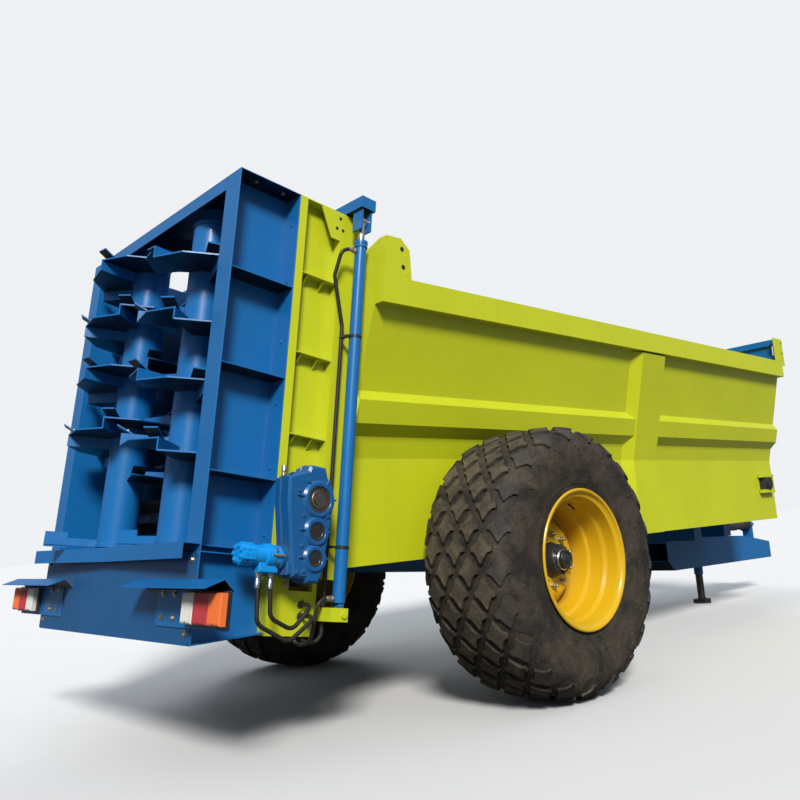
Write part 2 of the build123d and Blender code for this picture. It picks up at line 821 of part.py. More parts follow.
# Tail plate: the panel below the lip that carries the lamps
with BuildPart() as tail_plate:
    with BuildSketch(lean_face(-run_gap - sheet)):
        with Locations((0, tail_up / 2)):
            RectangleRounded(2 * tail_half, tail_up, tail_corner)
    extrude(amount=sheet)
tail_plate.part.label = "tail_plate"
export_step(tail_plate.part, "parts/tail_plate.step")

# Lamp brackets with their roof shaped hoods, both on one node
bracket_along = -2 * run_gap - sheet
lamp_end_half = lamp_start_half + lamp_long
hood_outline = [
    (bracket_along, bracket_top_up - hood_sheet),
    (hood_ridge_along, hood_ridge_up - hood_sheet),
    (hood_rear_along, hood_rear_up - hood_sheet),
    (hood_rear_along, hood_rear_up),
    (hood_ridge_along, hood_ridge_up),
    (bracket_along, bracket_top_up),
]
with BuildPart() as lamp_brackets:
    with BuildSketch(lean_face(bracket_along - sheet)):
        area(-lamp_end_half, bracket_low_up, -bracket_start_half, bracket_top_up)
    extrude(amount=sheet)
    with BuildSketch(lean_side(-hood_start_half)):
        Polygon(*hood_outline, align=None)
    extrude(amount=hood_end_half - hood_start_half)
    mirror(about=Plane.XZ)
lamp_brackets.part.label = "lamp_brackets"
export_step(lamp_brackets.part, "parts/lamp_brackets.step")

# Rear lamps: two plain boxes with rounded corners
lamp_middle_half = lamp_start_half + lamp_long / 2
lamp_middle_up = lamp_low_up + lamp_tall / 2
with BuildPart() as rear_lamps:
    with BuildSketch(lean_face(bracket_along - sheet - run_gap - lamp_deep)):
        with Locations((-lamp_middle_half, lamp_middle_up), (lamp_middle_half, lamp_middle_up)):
            RectangleRounded(lamp_long, lamp_tall, tail_corner)
    extrude(amount=lamp_deep)
rear_lamps.part.label = "rear_lamps"
export_step(rear_lamps.part, "parts/rear_lamps.step")

# Beater drive under the pan: two bevel gearboxes, the cross tube between them and the long shaft
line_spot_up = up_at(line_z, beater_along)
with BuildPart() as beater_drive:
    with BuildSketch(lean_level(drive_box_low_up)):
        with Locations((beater_along, -beater_half), (beater_along, 0), (beater_along, beater_half)):
            Rectangle(drive_box, drive_box)
    extrude(amount=drive_box_top_up - drive_box_low_up)
    with BuildSketch(lean_level(drive_box_top_up)):
        with Locations((beater_along, -beater_half), (beater_along, beater_half)):
            Circle(drive_neck_radius)
    extrude(amount=beater_low_up - slide_gap - drive_box_top_up)
    with BuildSketch(lean_level(beater_low_up - beater_shaft_long - slide_gap)):
        with Locations((beater_along, -beater_half), (beater_along, beater_half)):
            Circle(beater_shaft_radius + fit_gap)
    extrude(amount=beater_shaft_long + overrun, mode=Mode.SUBTRACT)
    with BuildSketch(lean_side(beater_half)):
        with Locations((beater_along, line_spot_up)):
            Circle(line_tube_radius)
    extrude(amount=2 * beater_half)
    with BuildSketch(Plane.YZ.offset(lean_spot(beater_along, 0, line_spot_up).X)):
        with Locations((0, line_z)):
            Circle(line_radius)
    extrude(amount=axle_x + case_reach - run_gap - lean_spot(beater_along, 0, line_spot_up).X)
beater_drive.part.label = "beater_drive"
export_step(beater_drive.part, "parts/beater_drive.step")

# Conveyor gearbox: a cast case around three shafts, thick ribs and bosses round its open bores
gearbox_outer_half = gearbox_inner_half + gearbox_thick
gearbox_spots = [(shaft_along, shaft_up - drop) for drop in gearbox_bore_drops]
gearbox_boss_half = gearbox_outer_half + gearbox_boss
with BuildPart() as conveyor_gearbox:
    with BuildSketch(lean_side(-gearbox_inner_half)):
        for spot, radius in zip(gearbox_spots, gearbox_radii):
            with Locations(spot):
                Circle(radius)
        make_hull()
        area(shaft_along - gearbox_block, shaft_up, shaft_along + gearbox_block, gearbox_top_up)
        area(shaft_along - gearbox_block, gearbox_low_up, shaft_along + gearbox_block, motor_up)
    extrude(amount=gearbox_thick)
    with BuildSketch(lean_side(-gearbox_outer_half)):
        for spot, radius in zip(gearbox_spots, gearbox_bore_radii):
            with Locations(spot):
                Circle(radius + gearbox_boss)
    extrude(amount=gearbox_boss)
    with BuildSketch(lean_side(-gearbox_boss_half + gearbox_bore_deep)):
        for spot, radius in zip(gearbox_spots, gearbox_bore_radii):
            with Locations(spot):
                Circle(radius)
    extrude(amount=gearbox_bore_deep, mode=Mode.SUBTRACT)
    with BuildSketch(lean_side(-web_half)):
        with Locations((shaft_along, shaft_up)):
            Circle(gearbox_neck_radius)
    extrude(amount=gearbox_inner_half - web_half)
    with BuildSketch(lean_side(-web_half + overrun)):
        with Locations((shaft_along, shaft_up)):
            Circle(shaft_radius + run_gap)
    extrude(amount=gearbox_inner_half - web_half + overrun, mode=Mode.SUBTRACT)
    with BuildSketch(lean_face(motor_block_end)):
        with Locations((-motor_half, motor_up)):
            Rectangle(2 * motor_block_side, 2 * motor_block_side)
    extrude(amount=motor_flange_end - motor_block_end)
conveyor_gearbox.part.label = "conveyor_gearbox"
export_step(conveyor_gearbox.part, "parts/conveyor_gearbox.step")

# Hydraulic motor: a round body, a port block and two fittings below it
with BuildPart() as hydraulic_motor:
    with BuildSketch(lean_face(motor_start_along)):
        with Locations((-motor_half, motor_up)):
            Circle(motor_radius)
    extrude(amount=motor_block_along - motor_start_along)
    with BuildSketch(lean_face(motor_block_along)):
        with Locations((-motor_half, motor_up)):
            RegularPolygon(motor_block_side, 8)
    extrude(amount=motor_block_end - motor_block_along - run_gap)
    with BuildSketch(lean_level(port_low_up)):
        for port_along in motor_port_alongs:
            with Locations((port_along, -motor_half)):
                RegularPolygon(port_radius, 6)
    extrude(amount=motor_up - port_low_up)
hydraulic_motor.part.label = "hydraulic_motor"
export_step(hydraulic_motor.part, "parts/hydraulic_motor.step")

# Right lift cylinder: an open barrel with a gland at the top and a cross eye at the bottom
with BuildPart() as lift_barrel_right:
    with BuildSketch(lean_level(barrel_low_up)):
        with Locations((gate_along, -lift_half)):
            Circle(barrel_radius)
    extrude(amount=barrel_top_up - barrel_low_up)
    with BuildSketch(lean_level(barrel_low_up + plate)):
        with Locations((gate_along, -lift_half)):
            Circle(barrel_bore)
    extrude(amount=barrel_top_up - barrel_low_up - plate, mode=Mode.SUBTRACT)
    with BuildSketch(lean_level(barrel_top_up)):
        with Locations((gate_along, -lift_half)):
            Circle(gland_radius)
            Circle(rod_radius + fit_gap, mode=Mode.SUBTRACT)
    extrude(amount=gland_long)
    with BuildSketch(lean_side(lift_eye_wide / 2 - lift_half)):
        with Locations((gate_along, lift_eye_up)):
            Circle(lift_eye_radius)
    extrude(amount=lift_eye_wide)
    with BuildSketch(lean_level(lift_eye_up)):
        with Locations((gate_along, -lift_half)):
            Rectangle(lift_eye_radius, lift_eye_wide)
    extrude(amount=barrel_low_up - lift_eye_up)
    with BuildSketch(lean_side(lift_eye_wide - lift_half)):
        with Locations((gate_along, lift_eye_up)):
            Circle(lift_pin_radius + run_gap)
    extrude(amount=2 * lift_eye_wide, mode=Mode.SUBTRACT)
lift_barrel_right.part.label = "lift_barrel_right"
export_step(lift_barrel_right.part, "parts/lift_barrel_right.step")

with BuildPart() as lift_barrel_left:
    mirror(lift_barrel_right.part, about=Plane.XZ)
lift_barrel_left.part.label = "lift_barrel_left"
export_step(lift_barrel_left.part, "parts/lift_barrel_left.step")

# Gate: a ribbed sheet that slides between the webs, hung from the beam above the frame
beam_tube_up = frame_up + beam_tube_tall / 2 + slide_gap
with BuildPart() as gate_panel:
    with BuildSketch(lean_face(gate_rear)):
        area(-gate_half, gate_low_up, gate_half, beam_tube_up - beam_tube_tall / 2)
    extrude(amount=gate_sheet)
    with BuildSketch(lean_level(gate_low_up)):
        for across in (-gate_rib_half, 0, gate_rib_half):
            area(gate_rear - gate_rib, across - gate_rib / 2, gate_rear, across + gate_rib / 2)
    extrude(amount=beam_tube_up - beam_tube_tall / 2 - gate_low_up)
gate_panel.part.label = "gate_panel"
export_step(gate_panel.part, "parts/gate_panel.step")

# Gate beam: a square tube over the whole width with a clevis at each end for the rods
clevis_top_up = beam_tube_up - beam_tube_tall / 2
with BuildPart() as gate_beam:
    with BuildSketch(lean_side(beam_end_half)):
        with Locations((gate_along, beam_tube_up)):
            Rectangle(beam_tube_long, beam_tube_tall)
    extrude(amount=2 * beam_end_half)
    with BuildSketch(lean_level(clevis_top_up - clevis_drop)):
        for across in (-lift_half, lift_half):
            for along in (gate_along - clevis_gap, gate_along + clevis_gap - plate):
                area(along, across - clevis_wide / 2, along + plate, across + clevis_wide / 2)
    extrude(amount=clevis_drop)
    with BuildSketch(lean_face(gate_along - clevis_gap)):
        for across in (-lift_half, lift_half):
            with Locations((across, clevis_top_up - clevis_drop / 2)):
                Circle(lift_pin_radius)
    extrude(amount=2 * clevis_gap)
gate_beam.part.label = "gate_beam"
export_step(gate_beam.part, "parts/gate_beam.step")

# Rods of the two lift cylinders, each with its piston inside the barrel and an eye at the pin
rod_low_up = barrel_low_up + 2 * plate
pin_up = clevis_top_up - clevis_drop / 2
with BuildPart() as lift_rods:
    with BuildSketch(lean_level(rod_low_up)):
        with Locations((gate_along, -lift_half), (gate_along, lift_half)):
            Circle(rod_radius)
    extrude(amount=pin_up - rod_low_up)
    with BuildSketch(lean_level(rod_low_up)):
        with Locations((gate_along, -lift_half), (gate_along, lift_half)):
            Circle(barrel_bore - fit_gap)
    extrude(amount=piston_long)
    with BuildSketch(lean_face(gate_along - clevis_gap + plate + run_gap)):
        with Locations((-lift_half, pin_up), (lift_half, pin_up)):
            Circle(lift_eye_radius)
    extrude(amount=2 * (clevis_gap - plate - run_gap))
    with BuildSketch(lean_face(gate_along - clevis_gap)):
        with Locations((-lift_half, pin_up), (lift_half, pin_up)):
            Circle(lift_pin_radius + run_gap)
    extrude(amount=2 * clevis_gap, mode=Mode.SUBTRACT)
lift_rods.part.label = "lift_rods"
export_step(lift_rods.part, "parts/lift_rods.step")

# Beaters: a tube with a stepped screw of flat plates, upturned tips and two throwing paddles.
# The hand is 1 on the right and -1 on the left, whose screw is turned and set by another start.


def beater_level(up, hand, turn=0):
    """Give a plane across a beater's axis, its x axis turned about that axis."""
    spoke = lean.x_dir * cos(radians(turn)) + Vector(0, hand, 0) * sin(radians(turn))
    return Plane(origin=lean_spot(beater_along, -hand * beater_half, up), x_dir=spoke, z_dir=lean.z_dir)


def beater_side(up, hand, turn):
    """Give a plane along a beater's axis and one spoke, to draw (radius, up) on."""
    spoke = lean.x_dir * cos(radians(turn)) + Vector(0, hand, 0) * sin(radians(turn))
    return Plane(origin=lean_spot(beater_along, -hand * beater_half, up), x_dir=spoke, z_dir=spoke.cross(lean.z_dir))


def add_tube(hand):
    """Add the tube and the two shaft ends of one beater."""
    with BuildSketch(beater_level(beater_low_up, hand)) as drawing:
        Circle(beater_tube_radius)
    extrude(drawing.sketch, amount=beater_top_up - beater_low_up)
    with BuildSketch(beater_level(beater_low_up - beater_shaft_long, hand)) as drawing:
        Circle(beater_shaft_radius)
    extrude(drawing.sketch, amount=beater_top_up - beater_low_up + 2 * beater_shaft_long)


def add_screw(hand, low_up, first_turn, count):
    """Add the flat sectors of one beater, each with its riser from the one below and its tip."""
    rim = [
        (flight_radius * cos(radians(share * flight_turn)), hand * flight_radius * sin(radians(share * flight_turn)))
        for share in (0, 0.5, 1)
    ]
    tip = [(tip_start_radius, 0), (tip_radius, tip_rise), (tip_radius, tip_rise + flight_plate), (tip_start_radius, flight_plate)]
    for index in range(count):
        level = low_up + index * flight_step
        turn = first_turn - index * flight_turn
        with BuildSketch(beater_level(level, hand, turn)) as drawing:
            Polygon((0, 0), *rim, align=None)
        extrude(drawing.sketch, amount=flight_plate)
        with BuildSketch(beater_side(level, hand, turn + flight_turn)) as drawing:
            if index < count - 1:
                Polygon(*tip, align=None)
            else:
                area(0, 0, flight_radius, flight_plate)
        extrude(drawing.sketch, amount=hand * tip_wide)
        with BuildSketch(beater_side(level - flight_step if index else level, hand, turn + flight_turn)) as drawing:
            area(0, 0, flight_radius, flight_step + flight_plate if index else flight_plate)
        extrude(drawing.sketch, amount=hand * flight_plate)


def add_paddles(hand, turn):
    """Add the flat arm at the foot of one beater and the throwing plates at its two ends."""
    with BuildSketch(beater_level(arm_low_up, hand, turn)) as drawing:
        Rectangle(2 * paddle_radius, arm_wide)
    extrude(drawing.sketch, amount=arm_tall)
    with BuildSketch(beater_level(paddle_low_up, hand, turn)) as drawing:
        for end in (1, -1):
            with Locations((end * (paddle_radius - paddle_long / 2), 0)):
                Rectangle(paddle_long, flight_plate)
    extrude(drawing.sketch, amount=paddle_tall)


with BuildPart() as beater_right:
    add_tube(1)
    add_screw(1, flight_low_ups[0], flight_first_turns[0], flight_counts[0])
    add_paddles(1, paddle_turns[0])
beater_right.part.label = "beater_right"
export_step(beater_right.part, "parts/beater_right.step")

with BuildPart() as beater_left:
    add_tube(-1)
    add_screw(-1, flight_low_ups[1], flight_first_turns[1], flight_counts[1])
    add_paddles(-1, paddle_turns[1])
beater_left.part.label = "beater_left"
export_step(beater_left.part, "parts/beater_left.step")

# Drawbar: a deep box of plates under the body that tapers to a flange for the eye
bar_rear_x = axle_x + bar_rear_reach
bar_front_x = axle_x + bar_front_reach
bar_outline = [
    (bar_rear_x, bar_top_z - run_gap),
    (bar_rear_x, bar_heel_top_z),
    (axle_x + bar_heel_reach, bar_heel_z),
    (bar_front_x, bar_nose_low_z),
    (bar_front_x, bar_nose_top_z),
    (axle_x + bar_knee_reach, bar_knee_z),
    (axle_x + hanger_reaches[1] + hanger_long, bar_top_z - run_gap),
]
jack_x = axle_x + jack_reach
eye_x = axle_x + eye_reach
with BuildPart() as drawbar:
    with BuildSketch(Plane.XZ.offset(-bar_half)):
        Polygon(*bar_outline, align=None)
    extrude(amount=2 * bar_half)
    with BuildSketch(Plane.XZ.offset(plate - bar_half)):
        Polygon(*bar_outline, align=None)
        offset(amount=-plate, mode=Mode.REPLACE)
    extrude(amount=2 * (bar_half - plate), mode=Mode.SUBTRACT)
    with BuildSketch(Plane.XY.offset(bar_nose_low_z)):
        with Locations((jack_x, 0)):
            Circle(jack_tube_radius + run_gap)
    extrude(amount=bar_top_z - bar_nose_low_z, mode=Mode.SUBTRACT)
    with BuildSketch(Plane.YZ.offset(bar_rear_x)):
        area(plate - bar_half, bar_heel_top_z + plate, bar_half - plate, bar_top_z - 2 * plate)
    extrude(amount=plate, mode=Mode.SUBTRACT)
drawbar.part.label = "drawbar"
export_step(drawbar.part, "parts/drawbar.step")

# Drawbar eye: a flange bolted to the nose, a flat shank and a round eye
with BuildPart() as drawbar_eye:
    with BuildSketch(Plane.YZ.offset(bar_front_x + run_gap)):
        with Locations((0, eye_z)):
            Rectangle(eye_flange, eye_flange)
    extrude(amount=eye_flange_thick)
    with BuildSketch(Plane.XY.offset(eye_z - eye_thick / 2)):
        area(bar_front_x + run_gap, -eye_outer * 2 / 3, eye_x, eye_outer * 2 / 3)
        with Locations((eye_x, 0)):
            Circle(eye_outer)
            Circle(eye_bore, mode=Mode.SUBTRACT)
    extrude(amount=eye_thick)
drawbar_eye.part.label = "drawbar_eye"
export_step(drawbar_eye.part, "parts/drawbar_eye.step")

# Front gear case: it stands on the drawbar and takes the drive up from the input shaft to the long shaft
case_rear_x = axle_x + case_reach
case_front_x = case_rear_x + case_long
bar_slope_start_x = axle_x + hanger_reaches[1] + hanger_long
bar_knee_x = axle_x + bar_knee_reach
bar_fall_share = (bar_top_z - bar_knee_z) / (bar_knee_x - bar_slope_start_x)
case_outline = [
    (case_rear_x, bar_top_z - bar_fall_share * (case_rear_x - bar_slope_start_x) + run_gap),
    (case_rear_x, case_top_z),
    (case_front_x, case_top_z),
    (case_front_x, bar_top_z - bar_fall_share * (case_front_x - bar_slope_start_x) + run_gap),
]
with BuildPart() as front_case:
    with BuildSketch(Plane.XZ.offset(-case_half)):
        Polygon(*case_outline, align=None)
    extrude(amount=2 * case_half)
    chamfer(front_case.edges().filter_by(Axis.X).group_by(Axis.Z)[-1], case_corner)
front_case.part.label = "front_case"
export_step(front_case.part, "parts/front_case.step")

# Input shaft: a guarded shaft over the drawbar, its bearing on a pedestal, and the splined stub
stub_start_x = axle_x + stub_bearing_reach + stub_bearing_long + slide_gap
with BuildPart() as input_shaft:
    with BuildSketch(Plane.YZ.offset(case_front_x + run_gap)):
        with Locations((0, stub_z)):
            Circle(guard_radius)
    extrude(amount=axle_x + guard_end_reach - case_front_x - run_gap)
    with BuildSketch(Plane.YZ.offset(axle_x + guard_end_reach)):
        with Locations((0, stub_z)):
            Circle(journal_radius)
    extrude(amount=stub_start_x - axle_x - guard_end_reach)
    with BuildSketch(Plane.YZ.offset(stub_start_x)):
        with Locations((0, stub_z)):
            Circle(stub_radius)
    extrude(amount=stub_long)
input_shaft.part.label = "input_shaft"
export_step(input_shaft.part, "parts/input_shaft.step")

# Pedestal that carries the front bearing of the input shaft on the sloping nose of the drawbar
bearing_x = axle_x + stub_bearing_reach
nose_fall_share = (bar_knee_z - bar_nose_top_z) / (bar_front_reach - bar_knee_reach)
seat_rear_z = bar_knee_z - nose_fall_share * (bearing_x - bar_knee_x) + run_gap
seat_front_z = seat_rear_z - nose_fall_share * stub_bearing_long
pedestal_outline = [
    (bearing_x, seat_rear_z),
    (bearing_x, stub_z),
    (bearing_x + stub_bearing_long, stub_z),
    (bearing_x + stub_bearing_long, seat_front_z),
]
with BuildPart() as shaft_pedestal:
    with BuildSketch(Plane.XZ.offset(-stub_seat_wide / 2)):
        Polygon(*pedestal_outline, align=None)
    extrude(amount=stub_seat_wide)
    with BuildSketch(Plane.YZ.offset(bearing_x)):
        with Locations((0, stub_z)):
            Circle(stub_bearing_radius)
    extrude(amount=stub_bearing_long)
    with BuildSketch(Plane.YZ.offset(bearing_x - bite)):
        with Locations((0, stub_z)):
            Circle(journal_radius + fit_gap)
    extrude(amount=stub_bearing_long + 2 * bite, mode=Mode.SUBTRACT)
shaft_pedestal.part.label = "shaft_pedestal"
export_step(shaft_pedestal.part, "parts/shaft_pedestal.step")

# Jack: an outer tube through the drawbar and a leg with its round foot
with BuildPart() as jack_tube:
    with BuildSketch(Plane.XY.offset(jack_tube_low_z)):
        with Locations((jack_x, 0)):
            Circle(jack_tube_radius)
            Circle(jack_bore_radius, mode=Mode.SUBTRACT)
    extrude(amount=bar_top_z + plate - jack_tube_low_z)
jack_tube.part.label = "jack_tube"
export_step(jack_tube.part, "parts/jack_tube.step")

with BuildPart() as jack_leg:
    with BuildSketch(Plane.XY):
        with Locations((jack_x, 0)):
            Circle(jack_pad_radius)
    extrude(amount=jack_pad_thick)
    with BuildSketch(Plane.XY.offset(jack_pad_thick - bite)):
        with Locations((jack_x, 0)):
            Circle(jack_leg_radius)
    extrude(amount=jack_leg_top_z - jack_pad_thick)
jack_leg.part.label = "jack_leg"
export_step(jack_leg.part, "parts/jack_leg.step")

# Right tyre: its section is drawn with straight facets, its beads in the seats of the rim
bead_seat_radius = rim_seat_radius + run_gap
outer_bead = rim_outer_half - 2 * rim_wall - run_gap
inner_bead = rim_inner_half - 2 * rim_wall - run_gap
tyre_outside = [(share * tyre_half, radius_share * tyre_radius) for share, radius_share in tyre_outside_shares]
tyre_inside = [(share * tyre_half, radius_share * tyre_radius) for share, radius_share in tyre_inside_shares]
section_points = (
    tyre_outside
    + [(outer_bead, bead_seat_radius), (outer_bead - bead_wide, bead_seat_radius)]
    + tyre_inside
    + [(-across, radius) for across, radius in reversed(tyre_inside)]
    + [(bead_wide - inner_bead, bead_seat_radius), (-inner_bead, bead_seat_radius)]
    + [(-across, radius) for across, radius in reversed(tyre_outside[1:])]
)
wheel_middle = Plane(origin=(axle_x, -track_half, hub_z), x_dir=(0, -1, 0), z_dir=(1, 0, 0))
wheel_axis = Axis((axle_x, 0, hub_z), (0, 1, 0))
with BuildPart() as tyre_right:
    with BuildSketch(wheel_middle):
        Polygon(*section_points, align=None)
    revolve(axis=wheel_axis)
tyre_right.part.label = "tyre_right"
export_step(tyre_right.part, "parts/tyre_right.step")

with BuildPart() as tyre_left:
    mirror(tyre_right.part, about=Plane.XZ)
tyre_left.part.label = "tyre_left"
export_step(tyre_left.part, "parts/tyre_left.step")

# Right rim: a deep dished rim drawn as one section, the disc set far in from the outer edge
rim_outer = rim_outer_half
rim_section = [
    (rim_outer, rim_radius),
    (rim_outer - 2 * rim_wall, rim_seat_radius),
    (rim_outer / 2, rim_seat_radius - rim_wall),
    (rim_outer / 3, rim_well_radius),
    (disc_half_place, rim_well_radius),
    (-rim_inner_half + 2 * rim_wall, rim_seat_radius),
    (-rim_inner_half, rim_radius),
]
disc_edge_radius = rim_well_radius - rim_wall / 2
disc_section = [
    (disc_half_place - rim_wall, disc_hole_radius),
    (disc_half_place, disc_hole_radius),
    (disc_half_place, disc_edge_radius),
    (disc_half_place - rim_wall, disc_edge_radius),
]
rim_inside = [(across, radius - rim_wall) for across, radius in reversed(rim_section)]
with BuildPart() as rim_right:
    with BuildSketch(wheel_middle):
        Polygon(*rim_section, *rim_inside, align=None)
        Polygon(*disc_section, align=None)
    revolve(axis=wheel_axis)
    with BuildSketch(Plane.XZ.offset(track_half + disc_half_place)):
        with Locations((axle_x, hub_z)):
            with PolarLocations(stud_circle_radius, stud_count):
                Circle(stud_radius + run_gap)
    extrude(amount=-2 * rim_wall, mode=Mode.SUBTRACT)
rim_right.part.label = "rim_right"
export_step(rim_right.part, "parts/rim_right.step")

with BuildPart() as rim_left:
    mirror(rim_right.part, about=Plane.XZ)
rim_left.part.label = "rim_left"
export_step(rim_left.part, "parts/rim_left.step")

# Right hub: a flange behind the disc, a barrel through it, wheel studs and a round cap
disc_out = track_half + disc_half_place
hub_in = disc_out - rim_wall - run_gap - 2 * rim_wall
with BuildPart() as hub_right:
    with BuildSketch(Plane.XZ.offset(hub_in)):
        with Locations((axle_x, hub_z)):
            Circle(hub_flange_radius)
    extrude(amount=2 * rim_wall)
    with BuildSketch(Plane.XZ.offset(hub_in - hub_long / 3)):
        with Locations((axle_x, hub_z)):
            Circle(hub_radius)
    extrude(amount=hub_long)
    with BuildSketch(Plane.XZ.offset(hub_in + hub_long * 2 / 3)):
        with Locations((axle_x, hub_z)):
            Circle(hub_cap_radius)
    extrude(amount=hub_cap_long)
    with BuildSketch(Plane.XZ.offset(hub_in)):
        with Locations((axle_x, hub_z)):
            with PolarLocations(stud_circle_radius, stud_count):
                Circle(stud_radius)
    extrude(amount=stud_long + 3 * rim_wall)
    with BuildSketch(Plane.XZ.offset(hub_in - hub_long / 3)):
        with Locations((axle_x, hub_z)):
            Circle(spindle_radius + fit_gap)
    extrude(amount=track_half - hub_in + hub_long / 3 + slide_gap, mode=Mode.SUBTRACT)
hub_right.part.label = "hub_right"
export_step(hub_right.part, "parts/hub_right.step")

with BuildPart() as hub_left:
    mirror(hub_right.part, about=Plane.XZ)
hub_left.part.label = "hub_left"
export_step(hub_left.part, "parts/hub_left.step")

# Hoses: two from the motor to the slots of the right bracket, and two on each lift cylinder
motor_rear_route = [
    (motor_port_alongs[0], -motor_half, port_low_up - hose_gap),
    (motor_port_alongs[0] + 10, -motor_half - 10, 105),
    (430, -motor_half - 22, 28),
    (hose_slot_along, -motor_half - 20, hose_slot_ups[1]),
    (hose_slot_along, -frame_half + sheet - run_gap, hose_slot_ups[1]),
]
motor_front_route = [
    (motor_port_alongs[1], -motor_half, port_low_up - hose_gap),
    (motor_port_alongs[1] + 15, -motor_half, 135),
    (465, -motor_half + 5, 82),
    (hose_slot_along, -motor_half + 10, hose_slot_ups[0]),
    (hose_slot_along, -frame_half + sheet - run_gap, hose_slot_ups[0]),
]
manifold_low_up = (hose_slot_ups[0] + hose_slot_ups[1]) / 2 - manifold_tall / 2
manifold_half = frame_half - sheet - manifold_wide / 2
lift_port_along = gate_along - barrel_radius - hose_gap
lift_top_route = [
    (lift_port_along, -lift_half, lift_port_up),
    (628, -lift_half + 12, lift_port_up),
    (618, -lift_hose_half - 10, 1960),
    (700, -lift_hose_half, 1690),
    (700, -lift_hose_half, 22),
    (hose_slot_along + 20, -manifold_half, 22),
    (hose_slot_along + 20, -manifold_half, manifold_low_up - run_gap),
]
lift_low_route = [
    (lift_port_along, -lift_half, lift_low_port_up),
    (620, -lift_half, lift_low_port_up),
    (614, -lift_hose_half - 30, 30),
    (hose_slot_along - 20, -manifold_half, -20),
    (hose_slot_along - 20, -manifold_half, manifold_low_up - run_gap),
]


def add_hose(route):
    """Sweep one hose along its straight runs and round bends, given in the leaning frame."""
    with BuildLine() as hose_line:
        FilletPolyline(*[lean_spot(*spot) for spot in route], radius=hose_bend)
    with BuildSketch(Plane(origin=hose_line.line @ 0, z_dir=hose_line.line % 0)) as drawing:
        Circle(hose_radius)
    sweep(drawing.sketch, path=hose_line.line)


with BuildPart() as hoses:
    add_hose(motor_rear_route)
    add_hose(motor_front_route)
    for side in (1, -1):
        add_hose([(along, side * across, up) for along, across, up in lift_top_route])
        add_hose([(along, side * across, up) for along, across, up in lift_low_route])
hoses.part.label = "hoses"
export_step(hoses.part, "parts/hoses.step")
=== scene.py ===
# %% [markdown]
# A manure and fertilizer spreader: an open steel body on one axle, two upright beaters in a leaning
# blue housing at its tail, a gate that two long cylinders lift, and a drawbar with a parking jack.
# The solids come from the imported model. This script dresses them: it gives every solid a finish and
# adds the forms that are too fine for the solids. Lengths are metres, and millimetres in the tables of
# rows_mm; +X is forward, +Y is left.

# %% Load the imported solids
import json
import bmesh
import bpy
import numpy as np
from mathutils import Matrix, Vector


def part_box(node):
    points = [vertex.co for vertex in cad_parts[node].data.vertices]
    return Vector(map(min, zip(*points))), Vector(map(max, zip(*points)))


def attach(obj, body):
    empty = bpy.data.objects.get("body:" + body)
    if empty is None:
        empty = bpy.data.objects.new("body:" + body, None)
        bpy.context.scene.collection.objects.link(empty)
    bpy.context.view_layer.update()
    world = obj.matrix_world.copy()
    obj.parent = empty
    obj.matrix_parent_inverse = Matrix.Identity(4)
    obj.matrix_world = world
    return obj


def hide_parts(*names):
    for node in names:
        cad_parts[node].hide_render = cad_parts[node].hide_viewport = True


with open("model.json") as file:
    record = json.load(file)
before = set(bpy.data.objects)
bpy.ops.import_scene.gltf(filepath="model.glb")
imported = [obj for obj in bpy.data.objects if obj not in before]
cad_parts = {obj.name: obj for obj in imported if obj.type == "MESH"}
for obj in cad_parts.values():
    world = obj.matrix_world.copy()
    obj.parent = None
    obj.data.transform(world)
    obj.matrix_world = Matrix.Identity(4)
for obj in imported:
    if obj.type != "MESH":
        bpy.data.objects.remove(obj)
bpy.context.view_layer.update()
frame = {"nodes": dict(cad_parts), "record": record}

nodes = frame["nodes"]

# %% [markdown]
# The machine is described from its axle, and its tail leans forward by nine degrees. A leaning frame
# of its own (along, across, up) keeps the numbers of the tail simple, exactly as in the solids.

# %% Places that many pieces share
AXLE = np.array([-1.95299, 0.0, 0.785])
LEAN = np.radians(9.0)
FOOT = np.array([AXLE[0] - 2.161, 0.0, 0.592])
LEAN_FRAME = np.array([[np.cos(LEAN), 0, -np.sin(LEAN)], [0, 1, 0], [np.sin(LEAN), 0, np.cos(LEAN)]])
ALONG, ACROSS, UPWARD = LEAN_FRAME
FORWARD, UP = np.array([1.0, 0.0, 0.0]), np.array([0.0, 0.0, 1.0])
SIDES = ((-1, "right"), (1, "left"))


def leaning(points):
    """Rows of (along, across, up) become row places: the foot plus each number times its leaning axis."""
    return FOOT + np.asarray(points, float) @ LEAN_FRAME


print("top of the tail:", leaning([0, 0, 2.37]).round(3))

# %% [markdown]
# The photograph was taken from low behind the right rear corner, looking slightly up. A camera is a
# place, three turned axes and a focal length, so its matrix is written down directly.

# %% Camera
SENSOR_MM, FOCAL_PIXELS, PHOTO_PIXELS = 36.0, 789.523, 800
CAMERA_PLACE = (AXLE[0] - 3.904, -4.208, 1.054)


def show(name, data):
    """Put a mesh, a lamp or a camera into the scene as a new object."""
    made = bpy.data.objects.new(name, data)
    bpy.context.scene.collection.objects.link(made)
    return made


